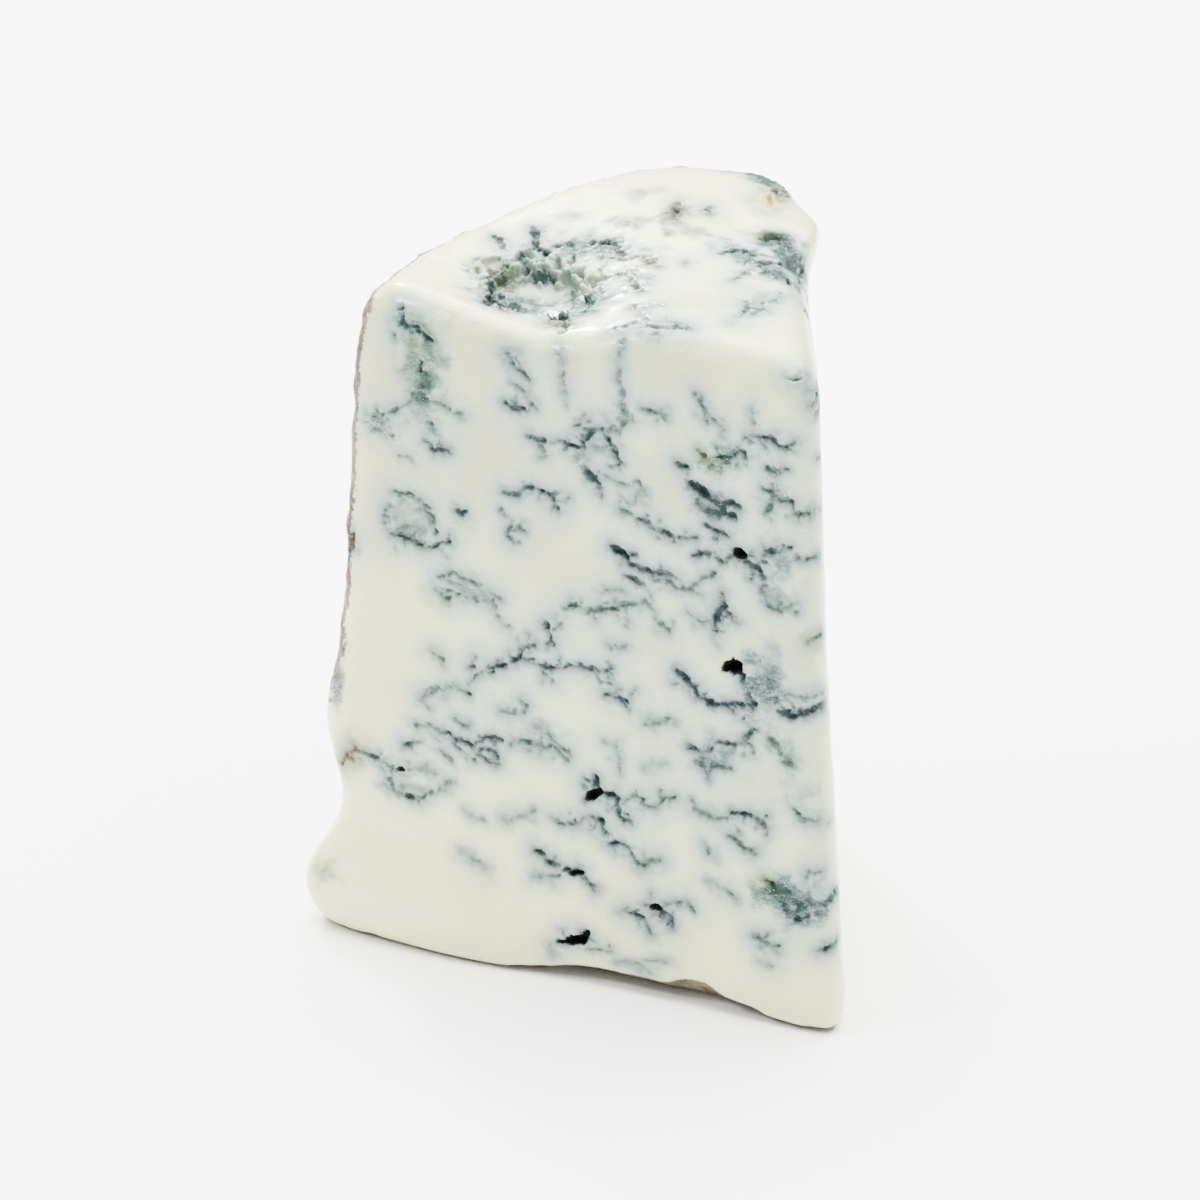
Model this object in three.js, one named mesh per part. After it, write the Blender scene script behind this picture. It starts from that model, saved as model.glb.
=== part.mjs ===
// A wedge of soft blue cheese standing on its base, as cut from a wheel that was first
// halved through its thickness. Two flat cuts meet at the wedge's thin end, and the wheel's
// curved rim closes its thick end. The soft paste has slumped: the top has a hollow behind
// the front edge, a lip hangs over the second cut, and the foot of the rim has spread.
//
// Millimetres, +Z up. X runs along the front cut, from the rim to the thin end. -Y is the
// front. The origin is on the base, at the middle of the bounding box.
import * as THREE from "three";

const { lerp, degToRad } = THREE.MathUtils;

// The wedge stands this high at the middle of its top's front edge.
const FRONT_HEIGHT = 87.5;

// The two cuts are nearly flat walls. `faces` is the direction of a cut's outward normal in
// plan, in degrees from +X, and base and top are its distances from the axis at those levels.
const CUTS = [
  { name: "front cut", faces: -90, base: 23.5, top: 19.5 },
  { name: "second cut", faces: 28, base: 26.9, top: 22.3 },
];
// The rim is round in plan: its middle, near the thin end, and its radii at the two levels.
const RIM = { x: 18.2, y: -13.2, base: 52.2, top: 48.2 };
// The larger this is, the sharper the upright corners between the rim and the cuts are.
const CORNER_SHARPNESS = 18;

// Where the rim and the lip swell out (+) or pinch in (-): direction in plan and height of
// the middle, the half width in degrees and in millimetres, and the depth in millimetres.
const SWELLINGS = [
  { name: "spread foot of the rim", at: -148, height: 7, wide: 28, tall: 5.5, out: 3.6 },
  { name: "spread foot of the front cut", at: -118, height: 2, wide: 30, tall: 9, out: 2.6 },
  { name: "pinch above the foot", at: -150, height: 16.5, wide: 22, tall: 6, out: -1.4 },
  { name: "roll of rind", at: -150, height: 29, wide: 22, tall: 8, out: 1.9 },
  { name: "slack in the rim above the roll", at: -150, height: 60, wide: 26, tall: 18, out: -0.6 },
  { name: "waist of the thin end", at: -26, height: 50, wide: 26, tall: 24, out: -0.6 },
  { name: "top corner drawn in", at: -152, height: 87, wide: 18, tall: 8, out: -1.9 },
  { name: "lip over the second cut", at: 50, height: 89, wide: 16, tall: 4.6, out: 6 },
];

// The top's rises (+) and hollows (-): place in plan, radius and height.
const TOP_RELIEF = [
  { name: "slack in the rim's middle", x: -24, y: 8, radius: 13, up: -0.8 },
  { name: "hollow behind the front edge", x: -10, y: -6, radius: 10, up: -5.6 },
  { name: "dip of the front edge", x: -1, y: -19, radius: 9, up: -3 },
  { name: "high back of the rim", x: -6, y: 26, radius: 32, up: 7.2 },
  { name: "soft shoulder of the thin end", x: 40, y: -18, radius: 10, up: -3 },
];

// The rounding of the wall into the base and into the top: how far it reaches in, as a share
// of the outline's radius, and how far up or down the wall, as a share of the height.
const BASE_EDGE = { inset: 0.06, rise: 0.03 };
const TOP_EDGE = { inset: 0.16, drop: 0.055 };

// How the surface is divided: steps around, steps up the wall, and how much closer together
// the steps are at the foot than at the top (1 spaces them evenly).
const AROUND = 108;
const UP_THE_WALL = 21;
const FOOT_CROWDING = 1.15;

/** How strongly a bump acts at a distance from its middle, 1 at the middle and 0 far away. */
function bump(distance) {
  return Math.exp(-distance * distance);
}

/** The shortest signed turn between two directions, in degrees. */
function turn(from, to) {
  return THREE.MathUtils.euclideanModulo(to - from + 180, 360) - 180;
}

/** Distance from the axis to the rim's circle, in a plan direction in degrees, at a level. */
function rimReach(direction, level) {
  const radius = lerp(RIM.base, RIM.top, level);
  const angle = degToRad(direction);
  const along = RIM.x * Math.cos(angle) + RIM.y * Math.sin(angle);
  return along + Math.sqrt(radius ** 2 - RIM.x ** 2 - RIM.y ** 2 + along ** 2);
}

/** Distance from the axis to the outline, in a plan direction in degrees, at a level 0 to 1. */
function outlineRadius(direction, level) {
  let sum = rimReach(direction, level) ** -CORNER_SHARPNESS;
  for (const cut of CUTS) {
    const facing = Math.cos(degToRad(direction - cut.faces));
    const reach = lerp(cut.base, cut.top, level);
    if (facing > 0) sum += (facing / reach) ** CORNER_SHARPNESS;
  }
  return sum ** (-1 / CORNER_SHARPNESS);
}

/** How far the wall swells out at a plan direction and a height. */
function swelling(direction, height) {
  let out = 0;
  for (const s of SWELLINGS) {
    out += s.out * bump(turn(s.at, direction) / s.wide) * bump((height - s.height) / s.tall);
  }
  return out;
}

/** The height of the top surface over a point of the plan. */
function topHeight(x, y) {
  let height = FRONT_HEIGHT;
  for (const r of TOP_RELIEF) {
    height += r.up * bump(Math.hypot(x - r.x, y - r.y) / r.radius);
  }
  return height;
}

/** Half of the wedge's section: share of the outline's radius against level, base to top. */
function sectionProfile() {
  const points = [];
  for (const share of [0, 0.3, 0.6, 0.85]) points.push(new THREE.Vector2(share, 0));
  for (let i = 0; i <= 4; i++) {
    const a = (i / 4) * (Math.PI / 2);
    const share = 1 - BASE_EDGE.inset * (1 - Math.sin(a));
    points.push(new THREE.Vector2(share, BASE_EDGE.rise * (1 - Math.cos(a))));
  }
  for (let i = 1; i < UP_THE_WALL; i++) {
    const climb = (i / UP_THE_WALL) ** FOOT_CROWDING;
    const level = lerp(BASE_EDGE.rise, 1 - TOP_EDGE.drop, climb);
    points.push(new THREE.Vector2(1, level));
  }
  for (let i = 0; i <= 6; i++) {
    const a = (i / 6) * (Math.PI / 2);
    const share = 1 - TOP_EDGE.inset * (1 - Math.cos(a));
    points.push(new THREE.Vector2(share, 1 - TOP_EDGE.drop * (1 - Math.sin(a))));
  }
  for (const share of [0.7, 0.56, 0.42, 0.28, 0.14, 0]) points.push(new THREE.Vector2(share, 1));
  return points;
}

/** Turns the round puck of the section into the wedge, point by point. */
function shapeWedge(puck) {
  const position = puck.getAttribute("position");
  const point = new THREE.Vector3();
  for (let i = 0; i < position.count; i++) {
    point.fromBufferAttribute(position, i);
    const share = Math.hypot(point.x, point.y);
    const direction = THREE.MathUtils.radToDeg(Math.atan2(point.y, point.x));
    const level = point.z;
    const radius = outlineRadius(direction, level) + swelling(direction, level * FRONT_HEIGHT);
    const scale = share > 0 ? radius : 0;
    const x = point.x * scale;
    const y = point.y * scale;
    position.setXYZ(i, x, y, level * topHeight(x, y));
  }
}

/** The wedge's closed surface, with its base on z = 0 and its box centred on the origin. */
function wedgeGeometry() {
  const geometry = new THREE.LatheGeometry(sectionProfile(), AROUND);
  geometry.rotateX(Math.PI / 2);
  shapeWedge(geometry);
  geometry.computeBoundingBox();
  const { min, max } = geometry.boundingBox;
  geometry.translate(-(min.x + max.x) / 2, -(min.y + max.y) / 2, -min.z);
  geometry.computeVertexNormals();
  return geometry;
}

const paste = new THREE.MeshStandardMaterial({ color: 0xe9e7da, roughness: 0.38, metalness: 0 });
const wedge = new THREE.Mesh(wedgeGeometry(), paste);
wedge.name = "cheese_wedge";

const root = new THREE.Group();
root.add(wedge);

export default root;
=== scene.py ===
"""The looks of a wedge of soft blue cheese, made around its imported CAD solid.

The wedge stands on its base: X runs along the front cut from the rim to the thin end, -Y is
the front and +Z is up. Places on the wedge are written in millimetres, and meshes in metres.
"""

import logging
import math
import random
from dataclasses import asdict, dataclass, field
from enum import Enum

import bmesh
import bpy
import numpy as np
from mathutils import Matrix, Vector, kdtree, noise
from mathutils.bvhtree import BVHTree


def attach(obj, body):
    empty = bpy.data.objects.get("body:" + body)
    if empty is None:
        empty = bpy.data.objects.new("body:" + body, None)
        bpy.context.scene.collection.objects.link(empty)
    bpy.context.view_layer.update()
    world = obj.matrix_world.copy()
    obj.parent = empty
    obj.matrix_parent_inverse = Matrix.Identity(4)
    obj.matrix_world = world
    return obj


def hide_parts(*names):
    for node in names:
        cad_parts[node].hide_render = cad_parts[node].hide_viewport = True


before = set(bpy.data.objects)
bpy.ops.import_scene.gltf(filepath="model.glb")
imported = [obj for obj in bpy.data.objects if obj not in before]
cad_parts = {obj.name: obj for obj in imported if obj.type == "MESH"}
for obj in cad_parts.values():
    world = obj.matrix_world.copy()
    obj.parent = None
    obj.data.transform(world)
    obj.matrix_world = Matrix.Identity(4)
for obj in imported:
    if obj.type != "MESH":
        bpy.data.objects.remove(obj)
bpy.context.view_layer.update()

LOG = logging.getLogger("cheese_wedge")
MM = 0.001
NODE = "cheese_wedge"
SLOT = "blue_veined_paste"
Point = tuple[float, float]
Colour = tuple[float, float, float]

# The second cut's outward direction in plan, in degrees.
SECOND_CUT_FACES = 28.0
# The rim's circle and the thin end, in plan, and a distance well outside the wedge.
RIM_CENTRE = (14.9, -19.2)
RIM_RADIUS = 50.2
THIN_END = (38.0, -29.0)
REACH = 120.0
# Where the rind has worn off the foot of the front cut: from all of it to none, in z and in y.
BARE_BELOW = (40.0, 24.0)
BARE_BEFORE = (-6.0, -21.0)
# The crumbly hollow in the top: its middle and its half sizes in plan.
CRUMBLY_MIDDLE = (-13.0, -9.5)
CRUMBLY_RADII = (10.5, 8.5)
# How far from a vein the paste is tinted, and how far its own colour of mould rules.
BLOOM_REACH = 2.7
TINT_REACH = 0.8
# How many samples of the veins each point looks at, and the values far from any vein.
NEAREST = 9
FAR_LEVEL = -3.0
FAR_GAP = 9.0


class Tint(Enum):
    """What colour the mould in a crack or a patch has: its place along the shader's mould ramp."""

    SLATE = 0.0
    TEAL = 0.3
    GREEN = 0.52
    BROWN = 0.78
    OCHRE = 1.0


class Face(Enum):
    """The faces that marks are placed on.

    A place on the front cut is (x, z), on the top (x, y), and on the second cut (distance from
    the thin end, z).
    """

    FRONT = "front cut"
    SECOND = "second cut"
    TOP = "top"


@dataclass(frozen=True)
class Vein:
    """A crack that blue mould grew in.

    Attributes:
        width: full width where it is widest, mm.
        tone: how dark its mould is, 0 to 1.
        points: places along it on its face, mm.
        tint: the mould's colour.
    """

    width: float
    tone: float
    points: tuple[Point, ...]
    tint: Tint = Tint.SLATE


@dataclass(frozen=True)
class Patch:
    """A cloud of mould or of staining in the paste, as a blurred ellipse.

    Attributes:
        at: its middle on its face, mm.
        radii: half length and half width, mm.
        strength: how much colour it has, 0 to 1.
        turn: degrees from the face's first direction to the long axis.
        tint: the mould's colour.
        grain: how granular and rough it is, 0 to 1.
    """

    at: Point
    radii: Point
    strength: float
    turn: float = 0.0
    tint: Tint = Tint.SLATE
    grain: float = 0.0


@dataclass(frozen=True)
class Hollow:
    """A hole or a shallow pocket in the surface, as an ellipse with a ragged edge.

    Attributes:
        at: its middle on its face, mm.
        radii: half length and half width, mm.
        depth: how deep its middle is, mm, or below 0 for a raised flake.
        dark: how much painted shade darkens its inside, 0 to 1; the shade stands in for the hole's depth.
        turn: degrees from the face's first direction to the long axis.
    """

    at: Point
    radii: Point
    depth: float
    dark: float = 1.0
    turn: float = 0.0


def vein(width: float, tone: float, *points: Point, tint: Tint = Tint.SLATE) -> Vein:
    """A vein from its width, its tone, the places along it and its tint."""
    return Vein(width, tone, points, tint)


FRONT_VEINS = (
    # under the left end of the top edge
    vein(1.0, 1.0, (-24.4, 85.2), (-24.1, 83.6), (-22.0, 83.2), (-20.0, 82.2)),
    vein(0.8, 0.8, (-21.2, 79.5), (-21.0, 76.6), (-20.8, 74.6), tint=Tint.TEAL),
    vein(0.5, 0.6, (-28.0, 70.4), (-25.6, 71.8), (-23.2, 73.6), (-21.4, 74.4), tint=Tint.TEAL),
    vein(0.5, 0.6, (-20.4, 74.6), (-18.4, 74.2), (-16.6, 73.4), (-15.0, 73.3), tint=Tint.TEAL),
    vein(0.4, 0.6, (-20.2, 71.6), (-19.0, 70.4)),
    vein(0.8, 1.0, (-20.4, 69.0), (-19.2, 68.2), (-17.0, 68.0)),
    vein(0.4, 0.3, (-24.6, 66.4), (-22.2, 66.8)),
    vein(0.6, 0.7, (-9.2, 82.4), (-7.8, 80.8), (-6.0, 79.7)),
    vein(0.4, 0.6, (-8.0, 78.8), (-6.2, 77.2), (-4.6, 75.7)),
    vein(1.0, 1.0, (-9.2, 75.7), (-8.0, 75.4), (-6.4, 75.4)),
    vein(0.4, 0.5, (-1.7, 83.4), (-1.5, 81.2), (-1.1, 78.6), (-0.6, 76.9)),
    # the upright crack from the top edge and the knot below it
    vein(0.5, 0.5, (6.4, 86.0), (6.5, 83.6), (6.6, 81.2)),
    vein(0.8, 0.7, (6.6, 81.2), (7.0, 78.4), (7.8, 76.8), (6.9, 75.2), (5.4, 74.6)),
    vein(0.6, 0.8, (0.4, 74.6), (2.2, 74.4), (4.4, 74.5), (5.6, 75.0)),
    vein(0.8, 0.8, (3.4, 74.2), (1.6, 72.6), (2.2, 71.0), (1.2, 70.0)),
    vein(0.9, 0.9, (4.6, 74.2), (5.9, 72.8), (6.5, 71.2), (6.9, 70.2)),
    vein(0.7, 0.9, (-6.0, 72.0), (-4.6, 71.6), (-2.4, 71.8), (0.0, 72.1), (1.6, 71.4), (2.6, 70.4)),
    vein(1.2, 1.0, (2.2, 69.4), (2.6, 68.2), (4.2, 67.6)),
    vein(0.4, 0.4, (-4.8, 69.2), (-3.2, 69.8)),
    vein(0.5, 0.6, (5.0, 68.6), (7.6, 67.9), (9.2, 68.6), (10.8, 67.2), (9.0, 66.6)),
    vein(0.4, 0.4, (7.0, 66.4), (8.6, 65.4), (9.4, 66.4)),
    vein(0.6, 0.8, (9.8, 78.1), (11.2, 77.9), (12.8, 77.7)),
    vein(0.6, 0.7, (17.0, 81.0), (18.1, 79.3), (18.7, 77.8)),
    vein(0.4, 0.6, (18.4, 79.4), (19.6, 78.2), (21.0, 77.1)),
    vein(0.7, 0.8, (23.8, 76.9), (25.8, 77.3), (27.6, 76.6), (29.0, 75.9), (30.2, 77.0)),
    vein(0.5, 0.4, (24.4, 80.6), (24.8, 78.4)),
    vein(1.0, 0.9, (14.6, 72.0), (16.1, 71.6)),
    vein(0.7, 0.7, (17.4, 74.0), (18.8, 72.6), (20.4, 72.4), (21.8, 73.6), tint=Tint.GREEN),
    vein(0.7, 0.9, (20.4, 73.4), (22.2, 74.2), (22.9, 75.2), (24.2, 74.2)),
    vein(0.7, 0.7, (26.8, 73.4), (28.2, 72.8), (29.6, 73.6)),
    vein(1.9, 1.0, (16.8, 69.6), (18.2, 68.6), (19.6, 67.6), (20.8, 66.8), (22.6, 66.6)),
    vein(0.9, 0.9, (20.2, 67.4), (21.6, 68.4), (23.2, 67.4)),
    vein(0.9, 0.8, (17.4, 67.2), (18.8, 66.2), (20.6, 66.2)),
    vein(0.7, 0.8, (26.2, 70.8), (27.6, 69.8), (29.9, 69.2), (30.6, 67.8), (32.4, 68.2), (34.2, 68.6)),
    vein(0.9, 0.7, (27.4, 71.4), (27.8, 69.4), (26.6, 67.4)),
    vein(0.7, 0.8, (6.8, 64.9), (9.0, 64.0), (11.8, 63.2), (14.2, 62.6), (15.8, 62.4), (17.4, 62.8)),
    vein(0.6, 0.8, (18.8, 65.0), (20.0, 64.2), (21.6, 63.3)),
    vein(0.6, 0.8, (-25.2, 61.5), (-23.0, 61.8), (-21.2, 60.6), (-19.9, 60.1)),
    vein(
        0.7, 0.9, (-25.4, 55.9), (-22.8, 55.4), (-19.6, 54.9), (-18.2, 55.9), (-16.8, 56.2),
        tint=Tint.TEAL),
    vein(0.6, 0.8, (-20.8, 60.2), (-19.4, 58.8), (-18.8, 57.0), tint=Tint.TEAL),
    vein(0.4, 0.7, (-25.6, 59.8), (-26.6, 58.2), (-26.2, 56.6), (-25.2, 55.8), tint=Tint.TEAL),
    vein(0.9, 1.0, (-16.2, 60.4), (-14.8, 59.8)),
    vein(0.7, 0.9, (-9.2, 64.3), (-7.2, 64.3), (-6.0, 65.4), (-4.2, 65.6), (-2.4, 64.8), (-1.7, 63.2)),
    vein(0.5, 0.7, (-9.6, 61.9), (-7.8, 60.4), (-8.8, 58.9), (-7.4, 57.9)),
    vein(0.5, 0.7, (-7.8, 59.4), (-6.8, 60.0), (-5.8, 59.7)),
    # the middle
    vein(1.4, 1.0, (6.2, 59.6), (7.6, 58.9), (8.8, 57.8)),
    vein(0.8, 0.9, (8.6, 58.0), (10.4, 57.2), (12.2, 57.2), (14.2, 57.6)),
    vein(0.6, 0.7, (13.4, 56.8), (15.4, 55.9), (17.2, 56.2), (18.4, 57.6), (20.2, 58.9)),
    vein(0.5, 0.8, (8.2, 56.2), (9.6, 55.5), (10.8, 55.2)),
    vein(0.7, 0.8, (17.4, 60.2), (19.6, 61.1), (21.4, 60.2), (22.6, 61.4)),
    vein(1.0, 1.0, (22.8, 62.0), (24.0, 61.6), (25.2, 60.2), (26.6, 59.3)),
    vein(0.9, 0.8, (25.6, 60.6), (27.0, 62.4), (28.8, 62.8), (30.0, 63.8)),
    vein(0.8, 0.6, (30.8, 63.0), (31.4, 62.2), (33.0, 62.2)),
    vein(0.7, 0.7, (26.4, 59.4), (26.6, 57.4), (27.8, 55.6), (29.4, 55.3), (31.0, 56.6)),
    vein(0.6, 0.7, (-0.2, 50.4), (1.8, 50.8), (3.6, 50.6), (6.0, 51.6), (8.8, 52.5), (10.9, 53.3)),
    vein(0.5, 0.6, (10.9, 53.3), (12.0, 52.2), (12.6, 50.8), (14.2, 50.2)),
    vein(0.4, 0.5, (4.4, 53.4), (6.4, 54.1), (8.4, 54.2)),
    vein(0.4, 0.5, (4.8, 51.8), (7.0, 52.8), (8.6, 51.2), (8.2, 49.8)),
    vein(1.0, 1.0, (21.2, 56.4), (21.4, 54.6), (20.4, 53.0), (20.7, 50.9)),
    vein(0.5, 0.7, (16.8, 52.9), (18.6, 52.0), (20.4, 52.6), (22.0, 53.4), (23.2, 52.7)),
    vein(0.8, 0.7, (32.8, 51.9), (33.8, 52.3), (34.8, 52.9), tint=Tint.GREEN),
    vein(0.8, 0.7, (-18.6, 51.2), (-16.4, 52.0), (-13.6, 51.6), (-11.4, 50.6), (-9.6, 49.9)),
    vein(0.6, 0.6, (-18.4, 50.2), (-15.6, 49.8), (-12.8, 49.2), (-10.6, 49.6), (-10.0, 48.0)),
    vein(0.6, 0.8, (-18.8, 49.8), (-17.8, 48.8), (-17.0, 48.6), tint=Tint.GREEN),
    vein(0.4, 0.4, (-9.8, 48.2), (-9.0, 46.6), (-7.8, 45.9)),
    vein(0.8, 0.9, (-2.9, 47.8), (-2.1, 46.6), (-1.8, 45.2)),
    vein(0.4, 0.6, (-2.2, 46.8), (-0.8, 48.4)),
    vein(0.5, 0.6, (5.9, 46.9), (7.2, 46.6), (8.3, 47.0)),
    # the long crack across the middle
    vein(0.6, 0.7, (-20.6, 34.3), (-19.4, 35.2), (-18.0, 36.6), (-16.0, 37.2), (-13.8, 36.4)),
    vein(0.5, 0.6, (-13.8, 36.4), (-13.2, 38.4), (-11.8, 39.8), (-10.0, 40.2)),
    vein(1.1, 1.0, (-10.4, 40.6), (-8.9, 41.1)),
    vein(0.8, 0.8, (-8.9, 41.1), (-7.2, 42.4), (-4.8, 42.8), (-2.8, 42.2), (-0.2, 42.5)),
    vein(0.7, 0.8, (-0.2, 42.5), (1.4, 42.9), (3.6, 43.2), (5.2, 42.9), (6.4, 43.9)),
    vein(0.8, 0.9, (-7.0, 42.2), (-5.8, 44.2), (-4.6, 44.8)),
    vein(0.5, 0.7, (5.7, 43.0), (6.3, 41.8)),
    vein(0.4, 0.7, (-3.8, 42.4), (-2.8, 41.2), (-1.8, 40.4)),
    vein(0.4, 0.5, (-19.1, 41.2), (-17.6, 40.1), tint=Tint.GREEN),
    vein(0.6, 0.8, (-13.8, 40.2), (-13.2, 40.3)),
    vein(0.8, 0.9, (5.6, 40.2), (7.2, 39.9), (9.1, 39.5)),
    vein(1.2, 1.0, (15.6, 45.0), (16.9, 43.9), (18.4, 42.3)),
    vein(1.0, 1.0, (18.4, 42.3), (20.4, 41.6), (22.2, 41.7), (24.2, 42.4), (26.2, 42.6)),
    vein(1.0, 0.8, (24.4, 46.0), (24.9, 44.2), (25.8, 42.6)),
    vein(0.7, 0.6, (26.8, 48.4), (27.2, 46.8), (28.4, 45.2), (28.6, 43.6), tint=Tint.TEAL),
    vein(1.1, 1.0, (29.2, 42.2), (31.2, 42.0), (33.2, 42.7), (35.4, 43.8)),
    vein(0.5, 0.5, (30.6, 44.9), (32.4, 44.4), (34.6, 45.2)),
    # the left of the middle, towards the rim
    vein(0.5, 0.7, (11.4, 37.1), (13.0, 37.5), (14.4, 38.5), (15.4, 38.2)),
    vein(0.6, 0.8, (-9.0, 35.0), (-7.2, 35.1), (-5.6, 35.6), (-5.2, 36.6)),
    vein(0.8, 0.7, (-7.8, 30.8), (-6.2, 31.5), (-3.6, 31.3), (-1.4, 31.6), (0.4, 30.2), tint=Tint.TEAL),
    vein(0.5, 0.6, (-2.6, 33.4), (-1.4, 32.2), (0.6, 31.2), tint=Tint.TEAL),
    vein(0.6, 0.6, (-21.2, 31.0), (-18.8, 31.1), (-16.8, 30.6)),
    vein(0.9, 1.0, (-17.0, 30.6), (-14.8, 30.0), (-12.6, 29.6)),
    vein(0.6, 0.8, (-12.6, 29.8), (-11.4, 30.8), (-10.0, 31.2), (-9.0, 30.8)),
    vein(0.4, 0.7, (-15.4, 32.4), (-13.6, 31.6)),
    vein(0.8, 0.7, (-13.4, 29.8), (-12.4, 28.6), (-11.0, 28.0), (-9.4, 27.8)),
    vein(0.6, 0.8, (-12.0, 29.2), (-10.4, 29.4), (-9.6, 28.4)),
    vein(0.5, 0.6, (-15.8, 29.6), (-14.2, 28.2), (-12.6, 27.6)),
    vein(1.0, 0.9, (-22.6, 27.8), (-21.6, 28.2)),
    vein(0.4, 0.4, (-21.6, 28.3), (-20.0, 28.9)),
    vein(0.4, 0.6, (-17.6, 28.2), (-16.2, 26.9)),
    vein(0.8, 0.9, (17.2, 35.4), (18.8, 35.0), (20.4, 35.2)),
    vein(0.7, 0.8, (20.4, 35.2), (21.6, 36.8), (23.6, 36.8), (25.2, 37.6), (26.2, 36.2)),
    vein(0.7, 0.7, (18.6, 34.8), (19.2, 33.2), (20.2, 32.2), (21.6, 33.4), (23.2, 33.8)),
    vein(0.7, 0.8, (25.0, 37.6), (25.6, 38.8), (26.4, 39.4)),
    vein(0.9, 0.6, (28.2, 38.6), (29.8, 37.4), (30.6, 35.8), tint=Tint.GREEN),
    vein(0.5, 0.5, (5.6, 33.6), (7.2, 33.1), (8.0, 31.6), (8.4, 30.0)),
    vein(0.5, 0.5, (11.0, 30.9), (12.2, 32.2), (14.2, 32.4)),
    vein(0.6, 0.7, (-28.8, 25.5), (-26.4, 25.2), (-24.6, 24.4)),
    vein(0.5, 0.6, (-24.4, 24.6), (-22.2, 24.7), (-20.0, 25.0), (-18.6, 24.5)),
    vein(0.8, 0.8, (-24.4, 24.2), (-25.2, 22.6), (-24.4, 21.2), (-22.6, 20.8), (-20.2, 21.0)),
    vein(0.5, 0.6, (-20.2, 21.0), (-18.0, 22.4), (-15.6, 24.2)),
    vein(0.5, 0.5, (-26.6, 21.6), (-24.6, 21.5)),
    # the dark knot low in the middle and the veins that run down from it
    vein(1.2, 1.0, (4.4, 28.8), (4.6, 27.6), (3.6, 26.0), (3.0, 25.2)),
    vein(0.9, 1.0, (4.6, 27.4), (6.0, 26.7), (7.6, 26.8)),
    vein(0.9, 0.9, (7.6, 26.4), (7.8, 24.8), (8.8, 23.8)),
    vein(0.5, 0.8, (8.6, 26.0), (10.2, 27.4), (11.6, 26.4), (13.4, 26.4), (14.2, 27.8), (15.8, 28.1)),
    vein(0.5, 0.7, (-1.5, 21.8), (0.2, 21.3), (2.2, 22.2), (4.0, 23.2)),
    vein(1.0, 0.9, (4.0, 23.2), (5.6, 22.7), (6.2, 21.2), tint=Tint.TEAL),
    vein(0.7, 0.7, (17.8, 28.2), (19.2, 26.9), (21.2, 26.4), (23.0, 26.8)),
    vein(0.9, 0.9, (23.6, 27.8), (25.2, 27.9), (26.6, 27.6), (28.2, 27.0)),
    vein(0.5, 0.6, (32.0, 29.8), (32.6, 28.6), (34.0, 28.9), (35.2, 28.5)),
    vein(0.8, 0.9, (23.0, 24.5), (24.6, 24.0), (26.8, 22.9)),
    vein(0.5, 0.7, (19.9, 22.6), (20.6, 21.6)),
    vein(0.8, 0.8, (6.6, 20.1), (8.2, 20.5), (9.4, 20.0), (10.2, 18.8)),
    vein(1.0, 0.9, (10.2, 18.8), (11.6, 17.9), (12.6, 18.8), (14.0, 19.2)),
    vein(0.4, 0.4, (-14.2, 20.5), (-12.6, 20.0), (-11.2, 19.6)),
    vein(0.5, 0.5, (-8.8, 20.4), (-7.2, 20.8), (-5.6, 21.4), (-4.2, 22.4)),
    # the foot of the front cut
    vein(0.9, 0.9, (-4.0, 17.0), (-2.6, 16.5), (-1.6, 15.7), (-0.2, 15.7)),
    vein(0.9, 1.0, (0.2, 14.6), (1.8, 15.1), (3.0, 15.5)),
    vein(0.4, 0.6, (-3.6, 13.4), (-2.0, 14.0), (-0.2, 14.0)),
    vein(0.5, 0.7, (3.0, 15.2), (3.8, 14.2), (4.8, 13.3)),
    vein(0.5, 0.5, (-14.2, 14.8), (-12.8, 14.1), (-10.8, 13.2), tint=Tint.TEAL),
    vein(0.5, 0.8, (9.0, 11.4), (10.8, 11.4), (12.0, 10.6), (12.8, 9.2)),
    vein(0.7, 0.8, (12.2, 12.4), (13.6, 12.9), (14.2, 11.6), (15.4, 11.4), (16.2, 10.5)),
    vein(0.4, 0.6, (14.4, 13.2), (16.2, 14.1), (18.0, 14.3), (18.8, 13.2)),
    vein(1.1, 0.9, (29.4, 18.6), (31.2, 17.6), (33.0, 17.0), (35.2, 17.6), tint=Tint.TEAL),
    vein(0.9, 0.9, (35.2, 17.6), (36.8, 18.4), (37.8, 19.8)),
    vein(0.9, 0.8, (30.0, 17.0), (32.0, 16.0), (34.0, 16.2), tint=Tint.TEAL),
    vein(0.5, 0.6, (33.4, 20.4), (34.4, 21.9), (35.6, 21.8)),
    vein(0.4, 0.5, (20.4, 18.1), (22.8, 17.6), (24.6, 16.5)),
    vein(1.7, 1.0, (28.8, 19.8), (29.8, 18.8), (31.2, 18.2), tint=Tint.GREEN),
    vein(1.2, 1.0, (30.6, 16.8), (31.8, 15.6), (33.2, 15.4), (34.4, 16.0), tint=Tint.TEAL),
    vein(0.6, 0.8, (32.0, 19.6), (33.4, 18.6), (34.2, 19.2)),
    vein(0.7, 0.8, (27.2, 11.9), (28.6, 11.4), (30.4, 10.7)),
    vein(0.5, 0.7, (28.8, 12.4), (28.2, 10.8)),
    vein(0.6, 0.7, (35.8, 11.6), (37.4, 12.1), (38.4, 13.1)),
    vein(1.0, 1.0, (0.0, 5.0), (1.6, 5.1), (2.6, 5.8), (4.0, 6.6)),
    vein(0.5, 0.5, (4.2, 4.5), (6.0, 4.7), (7.6, 5.0)),
    vein(0.5, 0.5, (-0.9, 4.0), (-0.6, 2.4)),
    vein(0.4, 0.4, (28.0, 8.7), (29.6, 8.2)),
    vein(0.5, 0.5, (8.4, 2.9), (10.2, 3.4), (11.6, 3.6), (11.8, 2.0)),
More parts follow.
